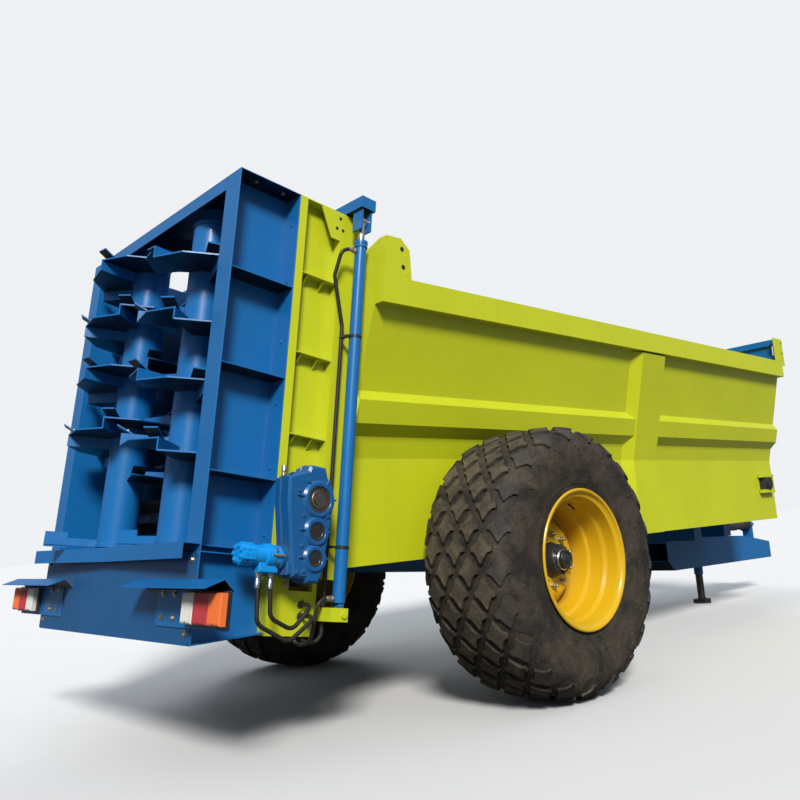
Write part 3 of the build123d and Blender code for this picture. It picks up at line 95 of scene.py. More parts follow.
yaw, pitch, roll = np.radians([43.596, 8.943, -4.097])
ahead = np.array([np.sin(yaw) * np.cos(pitch), np.cos(yaw) * np.cos(pitch), np.sin(pitch)])
sideways = np.array([np.cos(yaw), -np.sin(yaw), 0.0])
upright = np.cross(sideways, ahead)
camera_axes = np.stack([
    np.cos(roll) * sideways + np.sin(roll) * upright,
    np.cos(roll) * upright - np.sin(roll) * sideways,
    -ahead,
], axis=1)
camera_matrix = np.eye(4)
camera_matrix[:3, :3] = camera_axes
camera_matrix[:3, 3] = CAMERA_PLACE
lens = bpy.data.cameras.new("camera")
lens.sensor_width = SENSOR_MM
lens.lens = SENSOR_MM * FOCAL_PIXELS / PHOTO_PIXELS
lens.clip_end = 200.0
camera = show("camera", lens)
camera.matrix_world = Matrix(camera_matrix.tolist())
bpy.context.scene.camera = camera
print("camera lens in mm:", round(lens.lens, 2))

# %% [markdown]
# A shader is a small graph. Each step adds one node and gives back the output that the next steps use,
# so that a finish reads as a short list of steps.

# %% Graphs of nodes


class Graph:
    """The nodes of a material or of the sky."""

    def __init__(self, owner):
        owner.use_nodes = True
        self.tree = owner.node_tree

    def feed(self, node, **inputs):
        """Set inputs to plain values or wire them to outputs; the name iN stands for input number N."""
        for key, value in inputs.items():
            socket = node.inputs[int(key[1:]) if key[1:].isdigit() else key.replace("_", " ")]
            if isinstance(value, bpy.types.NodeSocket):
                self.tree.links.new(value, socket)
            else:
                socket.default_value = value

    def step(self, kind, output, settings=None, **inputs):
        """Add a node, give it its settings and inputs, and give back one of its outputs."""
        node = self.tree.nodes.new("ShaderNode" + kind)
        for key, value in (settings or {}).items():
            setattr(node, key, value)
        self.feed(node, **inputs)
        return node.outputs[output]

    def noise(self, place, scale, detail, **inputs):
        """A noise whose blots are about one over the scale wide."""
        return self.step("TexNoise", "Fac", Vector=place, Scale=scale, Detail=detail, **inputs)

    def remap(self, value, low, high, new_low, new_high):
        """Stretch a value from one range to another and hold it at the new ends."""
        return self.step("MapRange", "Result", Value=value, i1=low, i2=high, i3=new_low, i4=new_high)

    def compute(self, operation, *values):
        """One sum on one or two values."""
        inputs = {f"i{number}": value for number, value in enumerate(values)}
        return self.step("Math", "Value", {"operation": operation}, **inputs)

    def mix(self, share, first, second):
        """First times (1 minus share) plus second times share, for two colours."""
        return self.step("Mix", "Result", {"data_type": "RGBA"}, Factor=share, i6=first, i7=second)

    def bump(self, height, strength, distance, **inputs):
        """Tilt the surface as if it were raised by the height."""
        return self.step("Bump", "Normal", Height=height, Strength=strength, Distance=distance, **inputs)


def new_finish(name):
    """Make a material, and give back it, its graph, its shader and the object's own coordinates."""
    finish = bpy.data.materials.new(name)
    graph = Graph(finish)
    return finish, graph, graph.tree.nodes["Principled BSDF"], graph.step("TexCoord", "Object")


def opaque(colour, gain=1.0):
    """A colour times a gain, with full cover."""
    return [min(1.0, gain * part) for part in colour] + [1.0]


print("graph steps ready")

# %% [markdown]
# Sprayed paint on folded steel is nearly even: a broad drift in tone, faint streaks where rain ran
# down, dust with painted shade in corners, and a fine orange peel that only the gloss shows. Each of these
# is one noise at its own scale, mixed weakly over the paint's colour; the corners are found by ambient
# occlusion. Faces that look down can take painted shade, a near-black. Metal and rubber are built alike.

# %% Finishes
CORNER_DUST_AND_SHADE, UNDERSIDE_SHADE, RUST = (0.24, 0.22, 0.17), (0.002, 0.006, 0.012), (0.16, 0.07, 0.03)


def paint(name, colour, dust_and_shade_share=0.25, rough=0.34, drift=0.1, inner=None, under=0.0):
    """Colour times (1 plus a broad drift), mixed to dust with painted shade by corner occlusion times a
    noise.
    Inner, if given, is a distance from the middle plane and a second colour for all that lies nearer.
    The last argument is the share of painted shade, a near-black, on faces that look down."""
    finish, graph, shader, place = new_finish(name)
    tone = graph.mix(graph.noise(place, 1.3, 3.0), opaque(colour, 1 - drift), opaque(colour, 1 + drift))
    stretched = graph.step("Mapping", "Vector", Vector=place, Scale=(22.0, 22.0, 1.1))
    streaks = graph.remap(graph.noise(stretched, 1.0, 4.0), 0.52, 0.8, 0.0, 0.1)
    coloured = graph.mix(streaks, tone, opaque(colour, 0.6))
    # Dust with painted shade: ambient occlusion finds the corners, and a fine noise breaks up the dust
    # colour mixed in there.
    corner = graph.step("AmbientOcclusion", "AO", {"samples": 4}, Distance=0.07)
    grain = graph.noise(place, 26.0, 6.0, Roughness=0.7)
    shade, speckle = graph.remap(corner, 0.25, 0.85, 1.0, 0.0), graph.remap(grain, 0.35, 0.7, 0.25, 1.0)
    dust_and_shade_mask = graph.compute("MULTIPLY", graph.compute("MULTIPLY", shade, speckle), dust_and_shade_share)
    coloured = graph.mix(dust_and_shade_mask, coloured, opaque(CORNER_DUST_AND_SHADE))
    if inner:
        middle_gap = graph.compute("ABSOLUTE", graph.step("SeparateXYZ", "Y", Vector=place))
        coloured = graph.mix(graph.compute("LESS_THAN", middle_gap, inner[0]), coloured, opaque(inner[1]))
    # Painted shade: faces that look down are mixed towards a near-black, the more the further down they
    # look.
    if under:
        facing = graph.step("SeparateXYZ", "Z", Vector=graph.step("NewGeometry", "Normal"))
        coloured = graph.mix(graph.remap(facing, -0.2, -0.6, 0.0, under), coloured, opaque(UNDERSIDE_SHADE))
    gloss = graph.remap(grain, 0.2, 0.8, rough - 0.06, rough + 0.12)
    wave = graph.bump(graph.noise(place, 3.2, 1.0), 0.22, 0.01)
    peel = graph.bump(graph.noise(place, 240.0, 2.0), 0.1, 0.0006, Normal=wave)
    graph.feed(shader, Base_Color=coloured, Roughness=gloss, Normal=peel, Specular_IOR_Level=0.3,
               Coat_Weight=0.12, Coat_Roughness=0.12)
    return finish


def metal(name, colour, rough=0.4, rust=0.0, metallic=1.0):
    """Bare metal: a tone and a roughness that drift on one noise, and rust where another is high."""
    finish, graph, shader, place = new_finish(name)
    fine = graph.noise(place, 55.0, 6.0, Roughness=0.65)
    tone = graph.mix(fine, opaque(colour, 0.7), opaque(colour, 1.3))
    rusty = graph.remap(graph.noise(place, 9.0, 8.0, Roughness=0.7), 0.48, 0.7, 0.0, rust)
    gloss = graph.remap(fine, 0.2, 0.8, rough - 0.08, rough + 0.15)
    graph.feed(shader, Base_Color=graph.mix(rusty, tone, opaque(RUST)), Roughness=gloss, Metallic=metallic,
               Normal=graph.bump(fine, 0.15, 0.0008))
    return finish


def muddy(name, colour, mud, share):
    """Rubber that turns to mud where a broad noise times a fine one is high, with long thin scuffs on a
    stretched noise; the same two noises lift the crust."""
    finish, graph, shader, place = new_finish(name)
    broad = graph.noise(place, 5.5, 9.0, Roughness=0.72, Distortion=0.6)
    fine = graph.noise(place, 60.0, 7.0, Roughness=0.7)
    broad_share = graph.remap(broad, 0.4, 0.64, 0.0, share)
    fine_share = graph.remap(fine, 0.32, 0.62, 0.35, 1.0)
    muddied = graph.mix(graph.compute("MULTIPLY", broad_share, fine_share), opaque(colour), opaque(mud))
    stretched = graph.step("Mapping", "Vector", Vector=place, Scale=(4.0, 30.0, 9.0),
                           Rotation=(0.5, 0.3, 0.2))
    scuffs = graph.noise(stretched, 2.0, 8.0, Roughness=0.7, Distortion=1.2)
    scuffed = graph.mix(graph.remap(scuffs, 0.56, 0.72, 0.0, 0.35), muddied, opaque(mud, 1.25))
    crust = graph.bump(fine, 0.55, 0.002)
    graph.feed(shader, Base_Color=scuffed, Roughness=graph.remap(fine, 0.3, 0.7, 0.62, 0.92),
               Normal=graph.bump(broad, 0.3, 0.01, Normal=crust), Specular_IOR_Level=0.35)
    return finish


LIME = (0.495, 0.54, 0.012)
lime_paint = paint("lime_paint", LIME, dust_and_shade_share=0.2)
lime_blue_paint = paint("lime_blue_paint", LIME, dust_and_shade_share=0.25, inner=(0.8665, (0.005, 0.035, 0.1)))
# The blue's downward faces take painted shade.
blue_paint = paint("blue_paint", (0.006, 0.124, 0.355), dust_and_shade_share=0.16, rough=0.34, under=1.0)
# Painted shade: the tail plate's blue is a darker copy of the body's blue, standing in for the shade that
# plate is in; more dust is mixed in too.
shaded_apron_paint = paint("shaded_apron_paint", (0.008, 0.078, 0.215), dust_and_shade_share=0.3, rough=0.42, drift=0.2)
gearbox_blue_paint = paint("gearbox_blue_paint", (0.006, 0.086, 0.25), dust_and_shade_share=0.35, rough=0.3)
light_blue_paint = paint("light_blue_paint", (0.002, 0.25, 0.66), dust_and_shade_share=0.12, rough=0.3)
yellow_paint = paint("yellow_paint", (0.59, 0.355, 0.008), dust_and_shade_share=0.3, rough=0.3)
black_paint = paint("black_paint", (0.018, 0.018, 0.02), dust_and_shade_share=0.35, rough=0.4)
dark_steel = metal("dark_steel", (0.1, 0.095, 0.09), rough=0.5, rust=0.5, metallic=0.85)
worn_steel = metal("worn_steel", (0.26, 0.23, 0.2), rough=0.34, rust=0.25)
chrome_steel = metal("chrome_steel", (0.55, 0.55, 0.57), rough=0.22)
zinc_steel = metal("zinc_steel", (0.5, 0.45, 0.33), rough=0.38)
tyre_rubber = muddy("tyre_rubber", (0.015, 0.013, 0.011), (0.105, 0.078, 0.05), 0.62)
tread_rubber = muddy("tread_rubber", (0.038, 0.03, 0.02), (0.15, 0.12, 0.082), 0.85)
shoulder_rubber = muddy("shoulder_rubber", (0.022, 0.02, 0.018), (0.11, 0.085, 0.06), 0.55)
hose_rubber = paint("hose_rubber", (0.016, 0.015, 0.014), dust_and_shade_share=0.25, rough=0.5)
lamp_lens = paint("lamp_lens", (0.62, 0.05, 0.03), dust_and_shade_share=0.1, rough=0.12)
clear_lens = paint("clear_lens", (0.62, 0.62, 0.58), dust_and_shade_share=0.1, rough=0.14)
red_lens = paint("red_lens", (0.42, 0.045, 0.05), dust_and_shade_share=0.1, rough=0.14)
amber_lens = paint("amber_lens", (0.72, 0.16, 0.04), dust_and_shade_share=0.1, rough=0.14)
print("finishes:", len(bpy.data.materials))

# %% [markdown]
# Every solid gets the finish of its slot in the record, and four of them one of their own.

# %% Give the solids their finishes
finish_of_slot = {
    "lime": lime_paint, "blue": blue_paint, "light_blue": light_blue_paint, "yellow": yellow_paint,
    "black": black_paint, "dark_steel": dark_steel, "chrome": chrome_steel, "tyre": tyre_rubber,
    "lamp": lamp_lens, "rubber": hose_rubber,
}
for subpart in frame["record"]["subparts"]:
    solid = nodes[subpart["node"]]
    solid.data.materials.clear()
    solid.data.materials.append(finish_of_slot[subpart["material_slot"]])
nodes["conveyor_bearings"].data.materials[0] = black_paint
for hand in ("right", "left"):
    nodes[f"rear_frame_{hand}"].data.materials[0] = lime_blue_paint
# The tail plate takes the darker blue copy with painted shade.
nodes["tail_plate"].data.materials[0] = shaded_apron_paint

# %% [markdown]
# Faces pile up in a shape until they become one piece. Every builder below gives whole arrays: a table
# of points and a table of faces that number those points. A piece rides on the body that it moves with.

# %% Shapes and pieces


class Shape:
    """Points and faces that pile up, each face with the number of its finish."""

    def __init__(self):
        self.points, self.faces, self.tones, self.total = [], [], [], 0

    def put(self, part, tone=0):
        """Add one part, points and face tables, whose numbers move up by the points so far."""
        points, tables = part
        for table in tables:
            self.faces += (np.asarray(table) + self.total).tolist()
            self.tones += [tone] * len(table)
        self.points.append(points)
        self.total += len(points)


def piece(name, shape, finishes, body="chassis", replaced=None, sharp=32.0):
    """Make one object of a shape: doubles merged, normals outward, edges over the angle kept sharp."""
    mesh = bpy.data.meshes.new(name)
    mesh.from_pydata(np.concatenate(shape.points).tolist(), [], shape.faces)
    for finish in finishes:
        mesh.materials.append(finish)
    mesh.polygons.foreach_set("material_index", shape.tones)
    work = bmesh.new()
    work.from_mesh(mesh)
    bmesh.ops.remove_doubles(work, verts=work.verts, dist=0.00002)
    bmesh.ops.dissolve_degenerate(work, edges=work.edges, dist=0.00001)
    bmesh.ops.recalc_face_normals(work, faces=work.faces)
    work.to_mesh(mesh)
    work.free()
    mesh.shade_smooth()
    mesh.set_sharp_from_angle(angle=np.radians(sharp))
    made = show(name, mesh)
    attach(made, body)
    if replaced:
        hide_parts(replaced)


def unit(vectors):
    """Vectors divided by their own length."""
    vectors = np.asarray(vectors, float)
    return vectors / np.linalg.norm(vectors, axis=-1, keepdims=True)


def grid(rows, columns, wrap_rows=False, wrap_columns=False):
    """Quads between the lines of a table of points; a wrapped side joins its last line to its first."""
    row = np.arange(rows if wrap_rows else rows - 1)[:, None]
    column = np.arange(columns if wrap_columns else columns - 1)[None, :]
    below, beside = (row + 1) % rows, (column + 1) % columns
    corners = [row * columns + column, row * columns + beside,
               below * columns + beside, below * columns + column]
    return np.stack(corners, axis=-1).reshape(-1, 4)


def ring_axes(axis):
    """Two directions square to an axis and to each other."""
    axis = unit(axis)
    helper = np.eye(3)[np.argmin(np.abs(axis))]
    first = unit(np.cross(axis, helper))
    return first, np.cross(axis, first)


def turned(profile, place, axis, sides=32, start=0.0, loop=False):
    """Place + height * axis + radius * (cos turn * first + sin turn * second), for all rows and turns."""
    profile = np.asarray(profile, float)
    first, second = ring_axes(axis)
    turn = np.linspace(0, 2 * np.pi, sides, endpoint=False) + start
    ring = np.outer(np.cos(turn), first) + np.outer(np.sin(turn), second)
    points = place + profile[:, None, :1] * unit(axis) + profile[:, None, 1:] * ring
    return points.reshape(-1, 3), [grid(len(profile), sides, wrap_rows=loop, wrap_columns=True)]


def circle(middle, radius, count, first, second, start=0.0):
    """Even spots on a circle: middle + radius * (cos turn * first + sin turn * second)."""
    turn = np.linspace(0, 2 * np.pi, count, endpoint=False) + start
    return middle + radius * (np.outer(np.cos(turn), first) + np.outer(np.sin(turn), second))


def rows_mm(*numbers):
    """Pairs of millimetres become rows of two lengths in metres: (height, radius) or (x, y)."""
    return np.reshape(numbers, (-1, 2)) / 1000


def inset(outline, amount):
    """Each corner moves in along the bisector of its edges, so that every edge moves by the amount."""
    edge = unit(np.roll(outline, -1, axis=0) - outline)
    normal = np.stack([-edge[:, 1], edge[:, 0]], axis=1)
    both = normal + np.roll(normal, 1, axis=0)
    return outline + amount * 2 * both / np.sum(both ** 2, axis=1, keepdims=True)


def prism(outline, low, high, axes, ease=0.0):
    """Origin + x * first + y * second + height * third over an outline, its two rims eased by a bevel."""
    outline = np.asarray(outline, float)
    origin, first, second, third = axes
    if ease:
        tight = inset(outline, ease)
        rings = [(tight, low), (outline, low + ease), (outline, high - ease), (tight, high)]
    else:
        rings = [(outline, low), (outline, high)]
    plane = np.stack([first, second])
    points = np.concatenate([origin + ring @ plane + level * third for ring, level in rings])
    count = len(outline)
    caps = np.stack([np.arange(count)[::-1], np.arange(count) + count * (len(rings) - 1)])
    return points, [grid(len(rings), count, wrap_columns=True), caps]


def rectangle(low_x, low_y, high_x, high_y):
    """The four corners of a rectangle, counted against the clock."""
    return np.array([(low_x, low_y), (high_x, low_y), (high_x, high_y), (low_x, high_y)], float)


def smooth(path, steps):
    """A curve through every point: each stretch blends four neighbours with the Catmull-Rom weights."""
    path = np.asarray(path, float)
    padded = np.concatenate([2 * path[:1] - path[1:2], path, 2 * path[-1:] - path[-2:-1]])
    share = np.linspace(0, 1, steps, endpoint=False)[None, :, None]
    before, here, after, beyond = (padded[i:len(padded) - 3 + i, None] for i in range(4))
    squared = (2 * before - 5 * here + 4 * after - beyond) * share ** 2
    cubed = (3 * here - before - 3 * after + beyond) * share ** 3
    curve = 0.5 * (2 * here + (after - before) * share + squared + cubed)
    return np.concatenate([curve.reshape(-1, path.shape[1]), path[-1:]])


def pipe(path, radius, sides=10):
    """Rings of points square to a path; the frame turns from each point to the next without twisting."""
    path = np.asarray(path, float)
    tangent = unit(np.gradient(path, axis=0))
    first = ring_axes(tangent[0])[0]
    firsts = []
    for direction in tangent:
        first = unit(first - direction * (first @ direction))
        firsts.append(first)
    firsts = np.array(firsts)
    seconds = np.cross(tangent, firsts)
    turn = np.linspace(0, 2 * np.pi, sides, endpoint=False)[None, :, None]
    radii = np.broadcast_to(radius, len(path))[:, None, None]
    rings = path[:, None] + radii * (np.cos(turn) * firsts[:, None] + np.sin(turn) * seconds[:, None])
    count = len(path)
    caps = np.stack([np.arange(sides)[::-1], np.arange(sides) + sides * (count - 1)])
    return rings.reshape(-1, 3), [grid(count, sides, wrap_columns=True), caps]


def bolts(shape, spots, axis, size=0.01, tone=0):
    """A hexagon head on a round washer at every spot, sunk a hair so that no gap shows."""
    washer = [(-0.0008, 0), (-0.0008, 1.7 * size), (0.0022, 1.7 * size), (0.0022, 0)]
    head = [(0.002, 1.1 * size), (0.85 * size, 1.1 * size), (size, 0.95 * size), (size, 0)]
    for index, spot in enumerate(np.atleast_2d(spots)):
        shape.put(turned(washer, spot, axis, 10), tone)
        shape.put(turned(head, spot, axis, 6, start=0.4 * index), tone)


def weld(shape, start, end, radius, tone, seed):
    """A bead along a seam: its radius ripples with each drop of metal and wanders a little at random."""
    count = max(3, int(np.linalg.norm(end - start) / 0.016))
    share = np.linspace(0, 1, 2 * count + 1)
    drops = np.where(np.arange(2 * count + 1) % 2, 1.0, 0.86)
    wander = np.random.default_rng(seed).normal(0, 0.07, 2 * count + 1)
    shape.put(pipe(start + share[:, None] * (end - start), radius * (drops + wander), 6), tone)


print("builders ready")

# %% [markdown]
# A flotation tyre is a ring of revolution. Its outline is one smooth curve from bead to bead, measured
# by its own length, and every block of the tread is drawn flat (around, across) and then laid on that
# curve: angle = around / radius, place across = the point of the curve at that length, height = along
# the curve's normal. The diamonds stand in nine staggered columns; the outer ones wrap over the shoulder.

# %% Tyres
TYRE_HALF_CURVE = rows_mm(
    0, 765, 100, 763.5, 190, 757, 245, 742, 280, 712, 300, 668, 309, 610, 307, 550, 298, 492, 288, 446,
    282, 420)
OUTER_BEAD = rows_mm(279, 398, 278.5, 366.5, 241, 366.5)
INNER_BEAD = rows_mm(-243, 398, -239.5, 366.5, -202, 366.5)
TYRE_LINING = rows_mm(262, 420, 280, 520, 282, 620, 258, 690, 190, 727, 0, 736)
BLOCKS_AROUND, COLUMN_PITCH, TREAD_RADIUS = 21, 0.088, 0.775
BLOCK_OUTLINE = np.array([
    (1, 0.06), (0.52, 0.4), (0.25, 0.66), (0.15, 1), (-0.15, 1), (-0.25, 0.66), (-0.52, 0.4), (-1, 0.06)])
BLOCK_HEIGHTS = (0.02, 0.02, 0.02, 0.014, 0.004)
BLOCK_TONES = (1, 1, 1, 2, 0)
RIDGES = ((0.438, 0.003), (0.456, 0.003), (0.52, 0.002), (0.64, 0.002))
HUB_HEIGHT, TRACK = AXLE[2], 1.258


def wheel_points(side, across, radius, turn):
    """Wheel middle + across outward + radius at an angle around the axle, for arrays of one shape."""
    across, radius, turn = np.broadcast_arrays(across, radius, turn)
    ahead, high = AXLE[0] + radius * np.cos(turn), HUB_HEIGHT + radius * np.sin(turn)
    return np.stack([ahead, side * (TRACK + across), high], axis=-1)


half = smooth(TYRE_HALF_CURVE, 6)
inner_half = half * (-1, 1)
inner_half[:, 0] += np.interp(half[:, 1], (0.42, 0.5), (0.036, 0.0))
curve = np.concatenate([inner_half[::-1], half[1:]])
length = np.concatenate([[0], np.cumsum(np.linalg.norm(np.diff(curve, axis=0), axis=1))])
length -= length[len(half) - 1]
even = np.arange(length[0], length[-1], 0.008)
even_curve = np.stack([np.interp(even, length, curve[:, 0]), np.interp(even, length, curve[:, 1])], axis=1)
slope = unit(np.gradient(even_curve, axis=0))
normal = np.stack([-slope[:, 1], slope[:, 0]], axis=1)
ridge = sum(high * np.exp(-((even_curve[:, 1] - radius) / 0.005) ** 2) for radius, high in RIDGES)
walls = even_curve + (ridge * (np.abs(even_curve[:, 0]) > 0.2))[:, None] * normal
lining = np.concatenate([TYRE_LINING, (TYRE_LINING[:-1] * (-1, 1))[::-1]])
lining[-1, 0] += 0.036
tyre_loop = np.concatenate([walls, OUTER_BEAD, lining, INNER_BEAD[::-1]])
around = np.linspace(0, 2 * np.pi, 132, endpoint=False)
flat_block = np.concatenate([BLOCK_OUTLINE, -BLOCK_OUTLINE])
block_long = 0.69 * np.pi * TREAD_RADIUS / BLOCKS_AROUND
block_wide = 0.7 * COLUMN_PITCH
curve_lines = np.concatenate([even_curve, normal], axis=1).T
for side, hand in SIDES:
    tyre = Shape()
    ring = wheel_points(side, tyre_loop[:, None, 0], tyre_loop[:, None, 1], around[None, :])
    tyre.put((ring.reshape(-1, 3), [grid(len(tyre_loop), len(around), True, True)]))
    for column in range(-4, 5):
        high = BLOCK_HEIGHTS[abs(column)]
        for index in range(BLOCKS_AROUND):
            angle = 2 * np.pi * (index + 0.5 * (column % 2)) / BLOCKS_AROUND
            rings = []
            for swell, lift in ((1.06, -0.004), (1.0, high * 0.8), (0.95, high)):
                spot = COLUMN_PITCH * column + flat_block[:, 1] * block_wide * swell
                turn = angle + flat_block[:, 0] * block_long * swell / TREAD_RADIUS
                across, radius, push, rise = (np.interp(spot, even, line) for line in curve_lines)
                rings.append(wheel_points(side, across + lift * push, radius + lift * rise, turn))
            count = len(flat_block)
            caps = np.stack([np.arange(count)[::-1], np.arange(count) + 2 * count])
            tyre.put((np.concatenate(rings), [grid(3, count, wrap_columns=True)]))
            tyre.put((np.concatenate(rings), [caps]), BLOCK_TONES[abs(column)])
    piece(f"tread_tyre_{hand}", tyre, [tyre_rubber, tread_rubber, shoulder_rubber],
          f"wheel_{hand}", replaced=f"tyre_{hand}")
print("tread blocks a tyre:", 9 * BLOCKS_AROUND, "faces:", len(tyre.faces))

# %% [markdown]
# The rim is rolled from one band: lip, bead seat, two steps down to the well, and a pressed disc in it.
# Both are closed outlines turned round the axle. Ten nuts on washers hold the disc, and a black hub with
# a plain cap on a bright seat stands in the middle.

# %% Rims and hubs
RIM_FRONT = rows_mm(
    298, 404, 303, 400, 304, 393, 300, 386, 288, 381, 281, 372, 276, 358, 262, 354, 214, 353, 203, 350,
    192, 339, 180, 335, 112, 333, 101, 329, 90, 313, 80, 309, -150, 309, -170, 313, -190, 345,
    -225, 353, -240, 362, -248, 384, -262, 390, -263, 402)
RIM_BACK = rows_mm(
    -254, 402, -250, 392, -240, 388, -233.5, 366, -195, 366, -170, 322, -145, 318, 78, 318, 92, 338,
    110, 342, 178, 344, 196, 358, 212, 362, 240, 366, 273, 366.2, 279, 382, 288, 390, 292, 402)
DISC_FACE = 0.055
DISC = rows_mm(
    -44, 312, -36, 292, -22, 270, 20, 238, 46, 215, 54, 196, 55, 180, 55, 104, 43, 104, 43, 184,
    34, 212, 8, 234, -34, 266, -48, 290, -54, 312)
HUB = rows_mm(
    -140, 0, -140, 100, 10, 105, 20, 178, 42, 178, 44, 101, 66, 101, 74, 94, 116, 89, 124, 83, 126, 0)
CAP_SEAT = rows_mm(124, 0, 124, 62, 142, 62, 146, 58, 146, 0)
CAP = rows_mm(144, 0, 144, 55, 162, 55, 168, 51, 168, 45, 161, 42, 161, 29, 166, 24, 169, 14, 170, 0)
WELD_RING = rows_mm(-33, 308.5, -27, 308.5, -31, 302)
WASHER = rows_mm(-1, 0, -1, 21, 4, 19, 4, 0)
NUT = rows_mm(3, 0, 3, 16.5, 20, 16.5, 23, 14.5, 23, 0)
STUD = rows_mm(22, 0, 22, 10, 37, 10, 39, 8, 39, 0)
VALVE_TURN, VALVE_RADII = np.radians(72.0), np.array([0.008, 0.008, 0.0045, 0.0045, 0.0055, 0.0055])
for side, hand in SIDES:
    middle = np.array([AXLE[0], side * TRACK, HUB_HEIGHT])
    out = side * ACROSS
    dish = Shape()
    dish.put(turned(np.concatenate([RIM_FRONT, RIM_BACK]), middle, out, 128, loop=True))
    dish.put(turned(DISC, middle, out, 96, loop=True))
    dish.put(turned(WELD_RING, middle, out, 96, loop=True))
    piece(f"dished_rim_{hand}", dish, [yellow_paint], f"wheel_{hand}", replaced=f"rim_{hand}")
    hub = Shape()
    hub.put(turned(HUB, middle, out, 48))
    hub.put(turned(CAP_SEAT, middle, out, 32), 1)
    hub.put(turned(CAP, middle, out, 40))
    nut_spots = circle(middle, 0.15, 10, FORWARD, UP, 0.22) + DISC_FACE * out
    for index, spot in enumerate(nut_spots):
        hub.put(turned(WASHER, spot, out, 16), 2)
        hub.put(turned(NUT, spot, out, 6, start=0.5 * index), 2)
        hub.put(turned(STUD, spot, out, 12), 2)
    bolts(hub, circle(middle, 0.077, 8, FORWARD, UP, 0.1) + 0.125 * out, out, 0.007)
    valve_foot = wheel_points(side, 0.145, 0.334, VALVE_TURN)
    valve_tip = wheel_points(side, 0.186, 0.3, VALVE_TURN)
    valve_line = valve_foot + np.linspace(-0.1, 1, 6)[:, None] * (valve_tip - valve_foot)
    hub.put(pipe(valve_line, VALVE_RADII))
    piece(f"cast_hub_{hand}", hub, [black_paint, chrome_steel, zinc_steel],
          f"wheel_{hand}", replaced=f"hub_{hand}")
print("wheel nuts:", 2 * len(nut_spots))

# %% [markdown]
# The tail is drawn in its leaning frame. Side axes draw (along, up) and grow outward from the middle of
# the machine; back axes draw (across, up) and grow to the rear. Places that several pieces share are
# named here.

# %% Axes of the tail
TOP_UP, FRAME_HALF, WEB_HALF, FRAME_FACE = 2.37, 0.93, 0.868, 0.9303
BLUE_SHELVES = TOP_UP - np.array([0.553, 1.054, 1.584, 1.96])
LIME_SHELVES = TOP_UP - np.array([0.44, 0.89, 1.33])
BEATER_ALONG, BEATER_HALF = 0.17, 0.38
GATE_ALONG, LIFT_HALF, LIFT_PORTS, BAND_UPS = 0.745, 1.02, (2.12, 0.236), (0.49, 1.62)
MOTOR_HALF, MOTOR_UP = 1.04, 0.412
TAIL_FOOT = leaning([0, 0, 0])
MOTOR_FOOT = leaning([0, -MOTOR_HALF, MOTOR_UP])
ROOF_AXES = (TAIL_FOOT, ALONG, ACROSS, UPWARD)


def side_axes(side):
    """Draw (along, up), height counted outward from the middle plane on one side."""
    return TAIL_FOOT, ALONG, UPWARD, side * ACROSS


def back_axes(side):
    """Draw (across outward, up), height counted to the rear from the tail's own plane."""
    return TAIL_FOOT, side * ACROSS, UPWARD, -ALONG


def tail(along, across, up):
    """Row places of arrays of leaning numbers."""
    along, across, up = np.broadcast_arrays(along, across, up)
    return leaning(np.stack([along, across, up], axis=-1))


print("tail axes:", LEAN_FRAME.round(3).tolist())

# %% [markdown]
# Each rear lamp has three lenses side by side: clear inside, red in the middle, amber outside. Upright
# flutes are real bars on the lens, each a thin prism with eased edges.

# %% Rear lamps
LAMP_BACK, LAMP_INNER, LAMP_LOW, LAMP_HIGH = 0.0129, 0.866, 0.09, 0.237
LENSES = ((0.074, 0.172, 0), (0.176, 0.3, 1), (0.304, 0.408, 2))
screw_head = rows_mm(-1, 0, -1, 4, 1.5, 3.5, 1.5, 0)
lamps = Shape()
for side in (-1, 1):
    axes = back_axes(side)
    base = rectangle(LAMP_INNER + 0.068, LAMP_LOW, LAMP_INNER + 0.404, LAMP_HIGH)
    lamps.put(prism(base, LAMP_BACK + 0.0002, LAMP_BACK + 0.022, axes, 0.003), 3)
    for low, high, tone in LENSES:
        lens_box = rectangle(LAMP_INNER + low, LAMP_LOW + 0.006, LAMP_INNER + high, LAMP_HIGH - 0.006)
        lamps.put(prism(lens_box, LAMP_BACK + 0.018, LAMP_BACK + 0.056, axes, 0.006), tone)
        for flute in np.arange(LAMP_INNER + low + 0.012, LAMP_INNER + high - 0.012, 0.0125):
            bar = rectangle(flute, LAMP_LOW + 0.016, flute + 0.007, LAMP_HIGH - 0.016)
            lamps.put(prism(bar, LAMP_BACK + 0.053, LAMP_BACK + 0.0585, axes, 0.0018), tone)
        screw = tail(-LAMP_BACK - 0.056, side * (LAMP_INNER + (low + high) / 2), LAMP_LOW + 0.012)
        lamps.put(turned(screw_head, screw, -ALONG, 8), 3)
piece("lens_lamps", lamps, [clear_lens, red_lens, amber_lens, black_paint], replaced="rear_lamps")
print("lenses:", 2 * len(LENSES))

# %% [markdown]
# The conveyor gearbox is one casting: its outline was read off the photograph, rimmed by soft edges,
# with raised bosses around three shafts, ribs that run from the bosses to the rim, and cover bolts.
# The bosses, the bearing and the closing caps are turned shapes: rows of (height over the face, radius).

